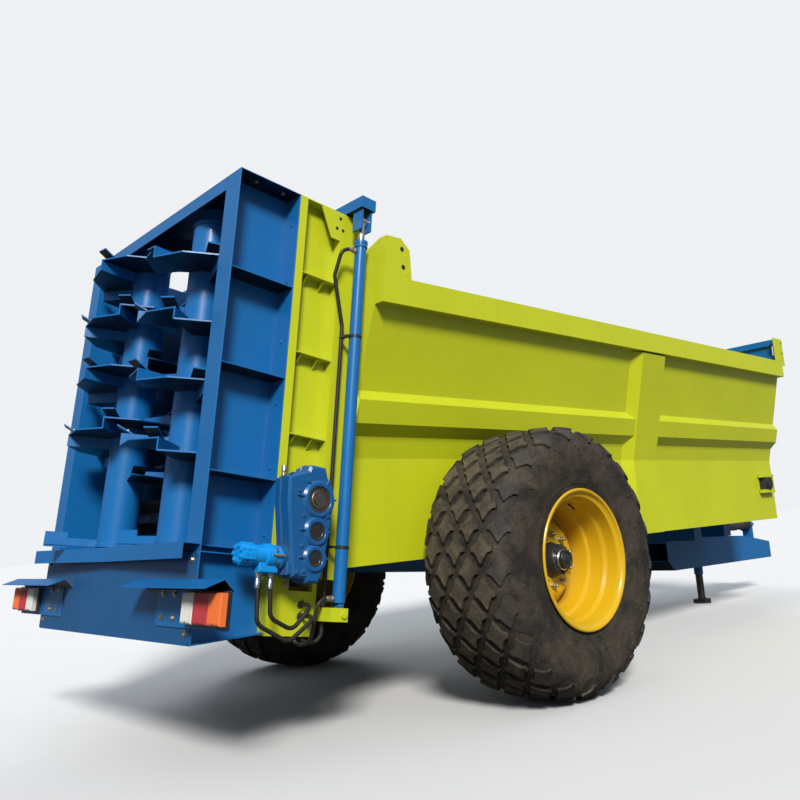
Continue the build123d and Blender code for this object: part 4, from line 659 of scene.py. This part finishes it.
# %% Conveyor gearbox
CASE_OUTLINE = rows_mm(
    341, 675, 373, 468, 388, 368, 393, 322, 473, 318, 481, 300, 549, 300, 570, 343, 592, 487, 610, 635,
    615, 710, 604, 765, 568, 815, 552, 861, 478, 864, 455, 858, 448, 834, 372, 806, 336, 790)
CASE_INNER, CASE_FACE = 0.975, 1.105
SHAFTS = ((0.515, 0.698, 0.066), (0.515, 0.543, 0.046), (0.515, 0.414, 0.041))
SHAFT_END = rows_mm(-2, 45, 5, 45, 7, 42, 7, 36, 4, 35, 4, 30, 9, 28, 9, 8, 3, 6, 3, 0, -2, 0)
MAIN_RIBS = ((175, 0.052), (128, 0.038), (62, 0.034), (5, 0.024), (-48, 0.03))
SMALL_RIBS = ((178, 0.04), (4, 0.02))
CASE_BOLTS = rows_mm(
    442, 780, 559, 777, 588, 691, 432, 612, 432, 470, 575, 539, 571, 620, 560, 400, 455, 352, 415, 345,
    395, 730)
gear = Shape()
axes = side_axes(-1)
gear.put(prism(CASE_OUTLINE, CASE_INNER + 0.052, CASE_FACE, axes, 0.012))
gear.put(prism(inset(CASE_OUTLINE, -0.006), CASE_INNER + 0.048, CASE_INNER + 0.06, axes, 0.003))
gear.put(prism(inset(CASE_OUTLINE, 0.003), CASE_INNER, CASE_INNER + 0.05, axes, 0.006))
for index, (along, up, bore) in enumerate(SHAFTS):
    foot = tail(along, -CASE_FACE, up)
    ring = [
        (-0.004, bore + 0.034), (0.004, bore + 0.024), (0.012, bore + 0.016), (0.012, bore + 0.002),
        (0.01, bore), (-0.006, bore)]
    gear.put(turned(ring, foot, -ACROSS, 48, loop=True))
    if index == 0:
        seat = [(-0.002, bore), (0.004, bore), (0.004, 0.056), (0.001, 0.055), (0.001, 0.046),
                (-0.002, 0.046)]
        gear.put(turned(SHAFT_END, foot, -ACROSS, 32), 4)
        gear.put(turned(seat, foot, -ACROSS, 40, loop=True), 3)
    else:
        cap = [
            (-0.002, 0), (-0.002, bore - 0.001), (0.006, bore - 0.001), (0.006, bore - 0.01),
            (0.003, bore - 0.013), (0.005, 0)]
        gear.put(turned(cap, foot, -ACROSS, 36), 1)
    for degrees, reach in SMALL_RIBS if index else MAIN_RIBS:
        way = np.array([np.cos(np.radians(degrees)), np.sin(np.radians(degrees))])
        beside = np.array([-way[1], way[0]]) * 0.006
        near = np.array([along, up]) + way * (bore + 0.014)
        far = near + way * reach
        rib = np.array([near - beside, far - beside * 0.7, far + beside * 0.7, near + beside])
        gear.put(prism(rib, CASE_FACE - 0.004, CASE_FACE + 0.01, axes, 0.002))
bolts(gear, tail(CASE_BOLTS[:, 0], -CASE_FACE, CASE_BOLTS[:, 1]), -ACROSS, 0.0075)
bolts(gear, tail([0.5, 0.53, 0.395], -1.04, [0.8635, 0.8635, 0.815]), UPWARD, 0.009)
breather = rows_mm(800, 0, 800, 12, 812, 12, 812, 8, 820, 8, 822, 13, 846, 13, 851, 10, 851, 0)
gear.put(turned(breather, tail(0.35, -1.03, 0), UPWARD, 16), 2)
neck = rows_mm(344.7, 0, 344.7, 60, 362, 60, 364, 52, 400, 52, 480, 58, 480, 0)
gear.put(turned(neck, MOTOR_FOOT, ALONG, 40))
inner_boss = rows_mm(866, 0, 866, 82, 900, 82, 905, 95, 977, 100, 977, 0)
gear.put(turned(inner_boss, tail(SHAFTS[0][0], 0, SHAFTS[0][1]), -ACROSS, 40))
gear.put(prism(rectangle(0.365, 0.33, 0.48, 0.395), 0.985, 1.098, axes, 0.006))
piece("cast_gearbox", gear, [gearbox_blue_paint, black_paint, zinc_steel, dark_steel, worn_steel],
      replaced="conveyor_gearbox")
print("gearbox faces:", len(gear.faces))

# %% [markdown]
# The hydraulic motor is turned about its own axis, with a star of bolts on its end cover and a port
# block below. Each hose ends in a pressed sleeve and a hexagon nut, drawn on the hose's own line. Each
# lift cylinder has two bands that hold its long hose, and a gland at its top.

# %% Hydraulic motor and hose ends
SLEEVE = rows_mm(0, 0, 0, 11.2, 2, 13.8, 38, 13.8, 41, 12.2, 48, 12.2, 50, 14, 58.5, 14, 58.5, 0)
motor = Shape()
motor_case = rows_mm(
    129, 0, 129, 41, 133, 48.5, 150, 51, 158, 51, 160, 46.5, 168, 46.5, 170, 51, 200, 51, 203, 47,
    262, 46.5, 266, 56, 292, 57.5, 306, 56, 309, 51, 344.3, 51, 344.3, 0)
motor.put(turned(motor_case, MOTOR_FOOT, ALONG, 48))
bolts(motor, circle(MOTOR_FOOT + 0.129 * ALONG, 0.034, 7, ACROSS, UPWARD), -ALONG, 0.0075)
lobe = rows_mm(131, 0, 131, 10, 199, 10, 203, 6, 203, 0)
for spot in circle(MOTOR_FOOT, 0.044, 7, ACROSS, UPWARD):
    motor.put(turned(lobe, spot, ALONG, 10))
port_block = rectangle(0.23, 0.334, 0.334, 0.4)
motor.put(prism(port_block, MOTOR_HALF - 0.03, MOTOR_HALF + 0.034, side_axes(-1), 0.005))
for port in (0.247, 0.317):
    nut = rows_mm(321.5, 0, 321.5, 15.5, 324, 16.5, 336, 16.5, 336, 0)
    motor.put(turned(nut, tail(port, -MOTOR_HALF, 0), UPWARD, 6, start=0.3), 1)
    motor.put(turned(SLEEVE, tail(port, -MOTOR_HALF, 0.262), UPWARD, 16), 2)
flange_bolts = tail([0.309, 0.309], -MOTOR_HALF - 0.046, [MOTOR_UP + 0.028, MOTOR_UP - 0.028])
bolts(motor, flange_bolts, ALONG, 0.008, 1)
motor.put(pipe(tail([0.285, 0.352], -MOTOR_HALF - 0.058, MOTOR_UP + 0.004), 0.0062, 10), 1)
piece("turned_motor", motor, [light_blue_paint, zinc_steel, chrome_steel],
      replaced="hydraulic_motor")
ends = Shape()
low_end = rows_mm(56, 0, 56, 11.2, 58, 13.8, 96, 13.8, 98, 11.8, 108.5, 11.8, 108.5, 0)
lift_end = rows_mm(664, 0, 664, 11.2, 666, 13.8, 694, 13.8, 696, 16.5, 706.2, 16.5, 706.2, 0)
gland = rows_mm(
    2149.5, 32.5, 2149.5, 38, 2156, 38.5, 2160, 36, 2168, 36, 2170, 38.5, 2188, 38.5, 2191.5, 35,
    2191.5, 18.8, 2149.5, 18.8)
for side in (-1, 1):
    barrel_foot = tail(GATE_ALONG, side * LIFT_HALF, 0)
    for along in (0.6, 0.56):
        ends.put(turned(low_end, tail(along, side * 0.899, 0), UPWARD, 16))
    for up in LIFT_PORTS:
        ends.put(turned(lift_end, tail(0, side * LIFT_HALF, up), ALONG, 12))
    for up in BAND_UPS:
        band = [(up - 0.008, 0.0325), (up - 0.008, 0.036), (up + 0.008, 0.036), (up + 0.008, 0.0325)]
        ends.put(turned(band, barrel_foot, UPWARD, 32, loop=True), 1)
        strap = rectangle(0.69, up - 0.006, 0.712, up + 0.006)
        ends.put(prism(strap, 0.944, 1.022, side_axes(side), 0.002), 1)
    ends.put(turned(gland, barrel_foot, UPWARD, 40, loop=True), 3)
for up in (0.202, 0.147):
    grommet = rows_mm(925, 10.8, 925, 18, 934, 18, 936, 10.8)
    ends.put(turned(grommet, tail(0.58, 0, up), -ACROSS, 16, loop=True), 1)
piece("hose_ends", ends, [zinc_steel, black_paint, zinc_steel, blue_paint])
print("hose end faces:", len(ends.faces))

# %% [markdown]
# The lift cylinders look slimmer in the photograph than their solids are, so each barrel is drawn again
# as a thin walled tube, with a boss at each hose and an eye at its foot.

# %% Lift cylinders
BARREL_RADIUS, BORE_RADIUS, EYE_UP = 0.033, 0.0313, 0.16
tube = [
    (0.215, 0), (0.215, BARREL_RADIUS - 0.003), (0.218, BARREL_RADIUS), (2.15, BARREL_RADIUS),
    (2.15, BORE_RADIUS), (0.225, BORE_RADIUS), (0.225, 0)]
boss = rows_mm(705.8, 0, 705.8, 12.5, 713.5, 12.5, 713.5, 0)
shank = rectangle(0.731, EYE_UP + 0.0235, 0.759, 0.2155)
eye = rows_mm(992, 16.5, 992, 26, 994, 28, 1046, 28, 1048, 26, 1048, 16.5)
for side, hand in SIDES:
    barrel = Shape()
    barrel.put(turned(tube, tail(GATE_ALONG, side * LIFT_HALF, 0), UPWARD, 48))
    for up in LIFT_PORTS:
        barrel.put(turned(boss, tail(0, side * LIFT_HALF, up), ALONG, 16))
    barrel.put(turned(eye, tail(GATE_ALONG, 0, EYE_UP), side * ACROSS, 40, loop=True))
    barrel.put(prism(shank, 0.993, 1.047, side_axes(side), 0.002))
    piece(f"slim_barrel_{hand}", barrel, [blue_paint], replaced=f"lift_barrel_{hand}")
print("barrel diameter:", 2 * BARREL_RADIUS)

# %% [markdown]
# The housing's sides are folded sheets: each is a deep recess between a rear flange and a front flange,
# with four shelves across it and a roof on top. Every sheet is a prism over a thin rectangle, so that the
# depth of the recess is one number. The lime frame's rear edge is folded round beside it, and two small
# gussets stand under each of the frame's own shelves. A small plate closes the rear end of each rail.

# %% Housing sides and roof
RECESS_HALF, HOUSING_LONG, ROOF_UP, LOW_UP, SHEET = 0.8, 0.381, 2.364, 0.41, 0.006
HAIR = 0.0003
LOW_OUTLINE = [(0, 0), (HOUSING_LONG, 0.0603), (HOUSING_LONG, LOW_UP), (0, LOW_UP)]
for side, hand in SIDES:
    walls, axes = Shape(), side_axes(side)
    walls.put(prism(rectangle(0, LOW_UP, HOUSING_LONG, ROOF_UP), RECESS_HALF - SHEET, RECESS_HALF, axes))
    walls.put(prism(LOW_OUTLINE, WEB_HALF - SHEET, WEB_HALF, axes))
    walls.put(prism(rectangle(0, 0, SHEET, ROOF_UP), RECESS_HALF + HAIR, FRAME_HALF, axes, 0.001))
    front_edge = rectangle(HOUSING_LONG - SHEET, 0.33, HOUSING_LONG - 0.0002, ROOF_UP)
    walls.put(prism(front_edge, RECESS_HALF - HAIR, FRAME_HALF - 0.0004, axes, 0.001))
    for up in BLUE_SHELVES:
        shelf = rectangle(SHEET - HAIR, up, HOUSING_LONG - SHEET + HAIR, up + SHEET)
        walls.put(prism(shelf, RECESS_HALF - 0.0004, FRAME_HALF - 0.0006, axes))
    foot_edge = rectangle(FOOT[0] + SHEET + 0.001, FOOT[2], FOOT[0] + 0.379, FOOT[2] + SHEET)
    upright_axes = (np.zeros(3), FORWARD, UP, side * ACROSS)
    walls.put(prism(foot_edge, WEB_HALF - 0.0005, FRAME_HALF - 0.0006, upright_axes))
    piece(f"folded_housing_{hand}", walls, [blue_paint], replaced=f"housing_{hand}")
roof = Shape()
roof_sheet = rectangle(0, -FRAME_HALF, HOUSING_LONG, FRAME_HALF)
roof.put(prism(roof_sheet, ROOF_UP, ROOF_UP + SHEET, ROOF_AXES, 0.001))
roof.put(prism(rectangle(0, -RECESS_HALF, SHEET, RECESS_HALF), 2.29, ROOF_UP + HAIR, ROOF_AXES, 0.001))
bearing = [
    (2.2765, 0.0325), (2.2765, 0.068), (2.279, 0.07), (ROOF_UP + HAIR, 0.07), (ROOF_UP + HAIR, 0.0325)]
for side in (-1, 1):
    roof.put(turned(bearing, tail(BEATER_ALONG, side * BEATER_HALF, 0), UPWARD, 40, loop=True))
piece("folded_roof", roof, [blue_paint], replaced="housing_top")
lime_edge = Shape()
rail_end = rows_mm(1082.5, 1822.2, 1149.6, 1822.2, 1149.6, 1906.7)
for side in (-1, 1):
    lime_edge.put(prism(rectangle(0.3815, 0.332, 0.43, 2.3698), 0.9245, 0.9303, side_axes(side), 0.001))
    for up in LIME_SHELVES:
        for along in (0.47, 0.58):
            gusset = [(0.8675, up - 0.06), (0.924, up + 0.0005), (0.8675, up + 0.0005)]
            lime_edge.put(prism(gusset, -along - 0.005, -along, back_axes(side)))
    lime_edge.put(prism(rail_end, -0.8255, -0.8193, back_axes(side)))
piece("lime_folded_edges", lime_edge, [lime_paint])
print("recess depth:", round(FRAME_HALF - RECESS_HALF, 3))

# %% [markdown]
# Bolts and weld beads hold the tail together: four bolts on each lamp bracket, two on each end of the
# tail plate, a row through each flange, and a bead under every shelf.

# %% Bolts and welds of the tail
fixings = Shape()
for side in (-1, 1):
    out = side * ACROSS
    bracket_across, bracket_up = np.tile([0.66, 0.77], 2), np.repeat([0.222, 0.116], 2)
    bolts(fixings, tail(-LAMP_BACK, side * bracket_across, bracket_up), -ALONG)
    bolts(fixings, tail(-0.0065, side * 0.885, [0.05, 0.375]), -ALONG)
    bolts(fixings, tail(0.375, side * WEB_HALF, np.linspace(0.52, 2.2, 6)), -ALONG, 0.006, 1)
    bolts(fixings, tail([0.13, 0.3], side * 0.87, ROOF_UP), -UPWARD, 0.008)
    bolts(fixings, tail([0.658, 0.637, 0.68], side * FRAME_FACE, [2.332, 2.266, 2.265]), out, 0.0055, 2)
    bolts(fixings, tail([0.484, 0.64], side * FRAME_FACE, [0.295, 0.1]), out, 0.009)
piece("tail_bolts", fixings, [zinc_steel, blue_paint, black_paint])
beads = Shape()
for side in (-1, 1):
    blue_seam, lime_seam = side * 0.802, side * 0.87
    for number, up in enumerate(BLUE_SHELVES):
        weld(beads, tail(0.01, blue_seam, up), tail(0.372, blue_seam, up), 0.004, 0, number)
        weld(beads, tail(0.008, side * 0.84, up), tail(0.008, side * 0.926, up), 0.003, 0, number)
    for number, up in enumerate(LIME_SHELVES):
        weld(beads, tail(0.39, lime_seam, up), tail(0.66, lime_seam, up), 0.004, 1, number)
    weld(beads, tail(0.372, blue_seam, 0.35), tail(0.372, blue_seam, 2.36), 0.0045, 0, 7)
    weld(beads, tail(0.39, lime_seam, 0.35), tail(0.39, lime_seam, 2.36), 0.0035, 1, 8)
piece("tail_welds", beads, [blue_paint, lime_paint])
print("bolt faces:", len(fixings.faces), "weld faces:", len(beads.faces))

# %% [markdown]
# On each beater a bead joins every sector of the screw to the tube, and two bolts hold each upturned
# tip. Sector k begins at its first turn minus k sector angles and lies k steps higher, as in the solids.

# %% Beater welds and bolts
FLIGHT_TURN, FLIGHT_STEP, TUBE, TIP_START, TIP_LONG, TIP_RISE = 65.45, 0.0625, 0.11, 0.285, 0.09, 0.046
BEATERS = ((-1, "right", 0.835, 283.45, 20), (1, "left", 0.865, 42.55, 23))
collar = rows_mm(0, 100, 0, 112.5, 3, 115, 22, 115, 25, 112.5, 25, 100)
for side, hand, low, first_turn, sectors in BEATERS:
    dress, half = Shape(), side * BEATER_HALF
    for index in range(sectors):
        start_turn, up = first_turn - index * FLIGHT_TURN, low + index * FLIGHT_STEP
        turn = np.radians(start_turn + np.linspace(0, FLIGHT_TURN, 9))
        for level in (up - 0.001, up + 0.009):
            reach = TUBE + 0.001
            seam = tail(BEATER_ALONG + reach * np.cos(turn), half - side * reach * np.sin(turn), level)
            dress.put(pipe(seam, 0.0045 * (1 + 0.15 * (np.arange(9) % 2)), 6))
        if index < sectors - 1:
            end = np.radians(start_turn + FLIGHT_TURN)
            spoke = ALONG * np.cos(end) - side * ACROSS * np.sin(end)
            beside = -ALONG * np.sin(end) - side * ACROSS * np.cos(end)
            slant = unit(TIP_LONG * spoke + TIP_RISE * UPWARD)
            outward = np.cross(slant, beside)
            outward = unit(outward * np.sign(outward @ UPWARD))
            spot = tail(BEATER_ALONG, half, up) + (TIP_START + 0.35 * TIP_LONG) * spoke
            spot = spot + (0.35 * TIP_RISE + 0.008) * UPWARD
            for wide in (-0.02, -0.055):
                bolts(dress, spot + wide * beside, outward, 0.008, 1)
    for level in (0.47, 2.25):
        dress.put(turned(collar, tail(BEATER_ALONG, half, level), UPWARD, 48, loop=True))
    piece(f"beater_dress_{hand}", dress, [blue_paint, zinc_steel], f"beater_{hand}")
print("beater sectors:", sum(row[-1] for row in BEATERS))

# %% [markdown]
# The floor conveyor is two chains of oval links with channel slats across. The chain's line is a long
# loop: straight, half circle, straight, half circle. A place on it follows from the length run so far,
# and every second link is turned a quarter about that line.

# %% Conveyor
SHAFT = leaning([SHAFTS[0][0], 0.0, SHAFTS[0][1]])
FRONT_SHAFT = np.array([AXLE[0] + 4.21, 0.0, SHAFT[2]])
RUN = FRONT_SHAFT[0] - SHAFT[0]
CHAIN_RADIUS, CHAIN_HALF, SLAT_HALF, SLAT_PITCH = 0.085, 0.47, 0.852, 0.41
BEND = np.pi * CHAIN_RADIUS
LOOP = 2 * RUN + 2 * BEND
LINKS, LINK_RADIUS, WIRE = 200, 0.019, 0.0062


def on_loop(length, lift=0.0):
    """Places and their forward and outward directions, for lengths run from the top of the rear shaft."""
    length = np.mod(length, LOOP)
    turn = (np.clip(length - RUN, 0, BEND) + np.clip(length - 2 * RUN - BEND, 0, BEND)) / CHAIN_RADIUS
    straight = np.clip(length, 0, RUN) - np.clip(length - RUN - BEND, 0, RUN)
    outward = np.outer(np.sin(turn), FORWARD) + np.outer(np.cos(turn), UP)
    places = SHAFT + straight[:, None] * FORWARD + (CHAIN_RADIUS + lift) * outward
    return zip(places, np.outer(np.cos(turn), FORWARD) - np.outer(np.sin(turn), UP), outward)


pitch = LOOP / LINKS
oval_turn = np.linspace(0, 2 * np.pi, 8, endpoint=False) + np.pi / 8
oval_out = np.stack([np.cos(oval_turn), np.sin(oval_turn)], axis=1)
oval = LINK_RADIUS * oval_out + np.sign(oval_out) * (0.22 * pitch, 0)
wire_turn = np.linspace(0, 2 * np.pi, 5, endpoint=False)
link_flat = oval[:, None] + WIRE * np.cos(wire_turn)[:, None] * oval_out[:, None]
link_high = WIRE * np.sin(wire_turn)[:, None]
chain = Shape()
for index, (place, way, out) in enumerate(on_loop(np.arange(LINKS) * pitch)):
    wide_way, high_way = (ACROSS, out) if index % 2 else (out, ACROSS)
    link = link_flat[..., :1] * way + link_flat[..., 1:] * wide_way + link_high * high_way
    for across in (-CHAIN_HALF, CHAIN_HALF):
        chain.put(((place + across * ACROSS + link).reshape(-1, 3), [grid(8, 5, True, True)]))
slat_outline = rows_mm(-25, 0, 25, 0, 25, 24, 20, 24, 20, 5, -20, 5, -20, 24, -25, 24)
pad = rectangle(-0.019, 0.004, 0.019, 0.009)
slat_steps = SLAT_PITCH * np.arange(1, 15)
slat_lengths = np.concatenate([slat_steps, 2 * RUN + BEND - slat_steps + SLAT_PITCH / 2,
                               2 * RUN + BEND * np.array([1.0, 1.5, 2.0])])
for place, way, out in on_loop(slat_lengths, 0.008):
    axes = (place, way, out, -ACROSS)
    chain.put(prism(slat_outline, -SLAT_HALF, SLAT_HALF, axes))
    for across in (-CHAIN_HALF, CHAIN_HALF):
        chain.put(prism(pad, across - 0.03, across + 0.03, axes, 0.001))
piece("link_conveyor", chain, [dark_steel], replaced="conveyor", sharp=40.0)
print("links:", 2 * LINKS, "slats:", len(slat_lengths))

# %% [markdown]
# The body gets its small hardware: the sheet in the headboard's frame, the take-up rails that tension
# the conveyor at both front corners, and the bolts of the ears, with plugs in the solids' own holes.

# %% Body hardware
ROW_AXES = (np.zeros(3), FORWARD, ACROSS, UP)
RAIL_FACE, EAR_FACE = 0.8903, 1.1502
EARS = ((-0.872, -0.894, (2.592, 2.486), 2), (4.45, 4.45, (2.615, 2.51), 3))
hardware = Shape()
low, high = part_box("headboard")
sheet_box = rectangle(low[0] + 0.026, low[1] + 0.05, low[0] + 0.034, high[1] - 0.05)
hardware.put(prism(sheet_box, low[2] + 0.05, high[2] - 0.05, ROW_AXES, 0.001))
take_up = (
    (-0.135, 0.06, 0.125, 0.092, 0.044, 0.002, 1), (-0.135, -0.092, 0.125, -0.06, 0.044, 0.002, 1),
    (0.112, -0.092, 0.125, 0.092, 0.044, 0.002, 1), (-0.075, -0.059, 0.07, 0.059, 0.038, 0.006, 2))
bearing_case = rows_mm(0, 0, 0, 64, 56, 62, 62, 54, 62, 0)
rod_nut = rows_mm(0, 0, 0, 13.5, 12, 13.5, 12, 0)
plug = rows_mm(-5.2, 0, -5.2, 10.5, -0.2, 12.5, 0, 12, 0, 0)
for side in (-1, 1):
    out = side * ACROSS
    face = FRONT_SHAFT + RAIL_FACE * out
    for *corners, thick, ease, tone in take_up:
        hardware.put(prism(rectangle(*corners), -0.001, thick, (face, FORWARD, UP, out), ease), tone)
    hardware.put(turned(bearing_case, face, out), 2)
    rod = face + 0.016 * out
    hardware.put(pipe(rod + np.outer([0.05, 0.175], FORWARD), 0.008), 3)
    for offset in (0.11, 0.128):
        hardware.put(turned(rod_nut, rod + offset * FORWARD, FORWARD, 6), 3)
    for plug_reach, bolt_reach, bolt_ups, tone in EARS:
        for height in (2.553, 2.448):
            plug_spot = np.array([AXLE[0] + plug_reach, side * EAR_FACE, height])
            hardware.put(turned(plug, plug_spot, out, 24), 1)
        bolts(hardware, [(AXLE[0] + bolt_reach, side * EAR_FACE, up) for up in bolt_ups], out, 0.008, tone)
piece("body_hardware", hardware, [blue_paint, lime_paint, black_paint, zinc_steel])
print("hardware faces:", len(hardware.faces))

# %% [markdown]
# The drawbar end: bolts through the eye's flange, guard cones on the input shaft, the crank of the jack,
# a block on its pad, and covers on the gearboxes under the beaters.

# %% Drawbar, jack and drive covers
SHAFT_HIGH = 0.76
front = Shape()
flange_spot = np.array([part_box("drawbar_eye")[0][0] + 0.02, 0, 0.45])
bolts(front, circle(flange_spot, 0.072, 4, ACROSS, UP, np.pi / 4), FORWARD, 0.012)
case_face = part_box("front_case")[1][0]
case_spots = [(case_face, across, high) for across in (-0.075, 0.075) for high in (0.66, 0.76, 0.86)]
bolts(front, case_spots, FORWARD)
guard = rows_mm(0, 0, 0, 78, 12, 80, 50, 66, 56, 68, 62, 62, 90, 51.5, 90, 0)
front.put(turned(guard, np.array([case_face, 0, SHAFT_HIGH]), FORWARD, 36), 1)
front.put(turned(guard, np.array([AXLE[0] + 5.645, 0, SHAFT_HIGH]), -FORWARD, 36), 1)
rib = rows_mm(-6, 49, -3, 54, 3, 54, 6, 49)
for reach in np.arange(4.75, 5.5, 0.15):
    front.put(turned(rib, np.array([AXLE[0] + reach, 0, SHAFT_HIGH]), FORWARD, loop=True), 1)
piece("drawbar_dress", front, [zinc_steel, black_paint])
covers = Shape()
cover = rows_mm(-65.5, 0, -65.5, 74, -56, 74, -52, 60, -48, 50, -48, 0)
for across in (-BEATER_HALF, 0.0, BEATER_HALF):
    covers.put(turned(cover, tail(0, across, 0.335), -ALONG, 36))
    bolts(covers, circle(tail(0.057, across, 0.335), 0.066, 6, ACROSS, UPWARD), -ALONG, 0.007, 1)
piece("drive_covers", covers, [dark_steel, zinc_steel])
jack = np.array([AXLE[0] + 4.36, 0, 0])
jack_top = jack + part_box("jack_tube")[1][2] * UP
crank = Shape()
crank_route = rows_mm(0, -2, 0, 45, -20, 62, -130, 62, -150, 78, -150, 110)
crank.put(pipe(smooth(jack_top + crank_route @ np.stack([ACROSS, UP]), 6), 0.009))
handle = rows_mm(0, 0, 0, 15, 6, 18, 60, 18, 66, 12, 66, 0)
crank.put(turned(handle, jack_top - 0.15 * ACROSS + 0.066 * UP, UP, 16), 1)
cap = rows_mm(-4, 0, -4, 50, 4, 52, 10, 48, 14, 22, 14, 0)
crank.put(turned(cap, jack_top, UP))
piece("jack_crank", crank, [zinc_steel, black_paint])
foot = Shape()
foot.put(prism(rectangle(-0.066, -0.066, 0.066, 0.066), 0.01, 0.042, (jack, *ROW_AXES[1:]), 0.005))
foot.put(turned([(0.04, 0), (0.04, 0.046), (0.05, 0.046), (0.054, 0.042), (0.054, 0)], jack, UP))
piece("jack_foot", foot, [black_paint], "jack")
print("drawbar faces:", len(front.faces), "cover faces:", len(covers.faces))

# %% [markdown]
# The machine stands on a plain pale floor under soft light: an even sky, one broad far lamp behind the
# camera's shoulder for shape, and a weak one on the other side to lift the shaded edges. Both sky and
# floor are darker for the light they send out than they look, so that the undersides stay in shade.

# %% Floor and light
FLOOR_HALF = 60.0
floor_mesh = bpy.data.meshes.new("studio_floor")
floor_corners = [
    (-FLOOR_HALF, -FLOOR_HALF, 0), (FLOOR_HALF, -FLOOR_HALF, 0), (FLOOR_HALF, FLOOR_HALF, 0),
    (-FLOOR_HALF, FLOOR_HALF, 0)]
floor_mesh.from_pydata(floor_corners, [], [(0, 1, 2, 3)])
studio_floor = show("studio_floor", floor_mesh)
floor_finish, graph, shader, place = new_finish("studio_floor")
floor_seen = graph.mix(graph.noise(place, 0.8, 3.0), opaque((0.6, 0.6, 0.6)), opaque((0.64, 0.64, 0.64)))
floor_colour = graph.mix(graph.step("LightPath", "Is Camera Ray"), opaque((0.11, 0.11, 0.1)), floor_seen)
graph.feed(shader, Base_Color=floor_colour, Roughness=0.9)
floor_mesh.materials.append(floor_finish)

sky = bpy.data.worlds.new("studio_sky")
bpy.context.scene.world = sky
graph = Graph(sky)
height = graph.step("SeparateXYZ", "Z", Vector=graph.step("TexCoord", "Generated"))
sky_share = graph.remap(height, 0.0, 0.9, 0.0, 1.0)
sky_tone = graph.mix(sky_share, opaque((0.15, 0.17, 0.2)), opaque((0.62, 0.67, 0.76)))
sky_colour = graph.mix(graph.step("LightPath", "Is Camera Ray"), sky_tone, opaque((0.86, 0.88, 0.9)))
graph.feed(graph.tree.nodes["Background"], Color=sky_colour, Strength=1.0)
bpy.context.scene.view_settings.view_transform = "Standard"


def far_lamp(name, towards_light, power, width, colour):
    """A lamp so far away that its light is even; its width in degrees softens the shadows."""
    light = bpy.data.lights.new(name, "SUN")
    light.energy = power
    light.angle = np.radians(width)
    light.color = colour
    back = unit(towards_light)
    side = unit(np.cross(UP, back))
    lamp = show(name, light)
    lamp.rotation_euler = Matrix(np.stack([side, np.cross(back, side), back], axis=1).tolist()).to_euler()
    lamp.location = 20.0 * back


far_lamp("key_lamp", (-0.53, -0.64, 0.64), 4.2, 14.0, (1.0, 0.975, 0.93))
far_lamp("fill_lamp", (0.55, 0.7, 0.5), 0.9, 25.0, (0.92, 0.96, 1.0))
print("lights:", len(bpy.data.lights))
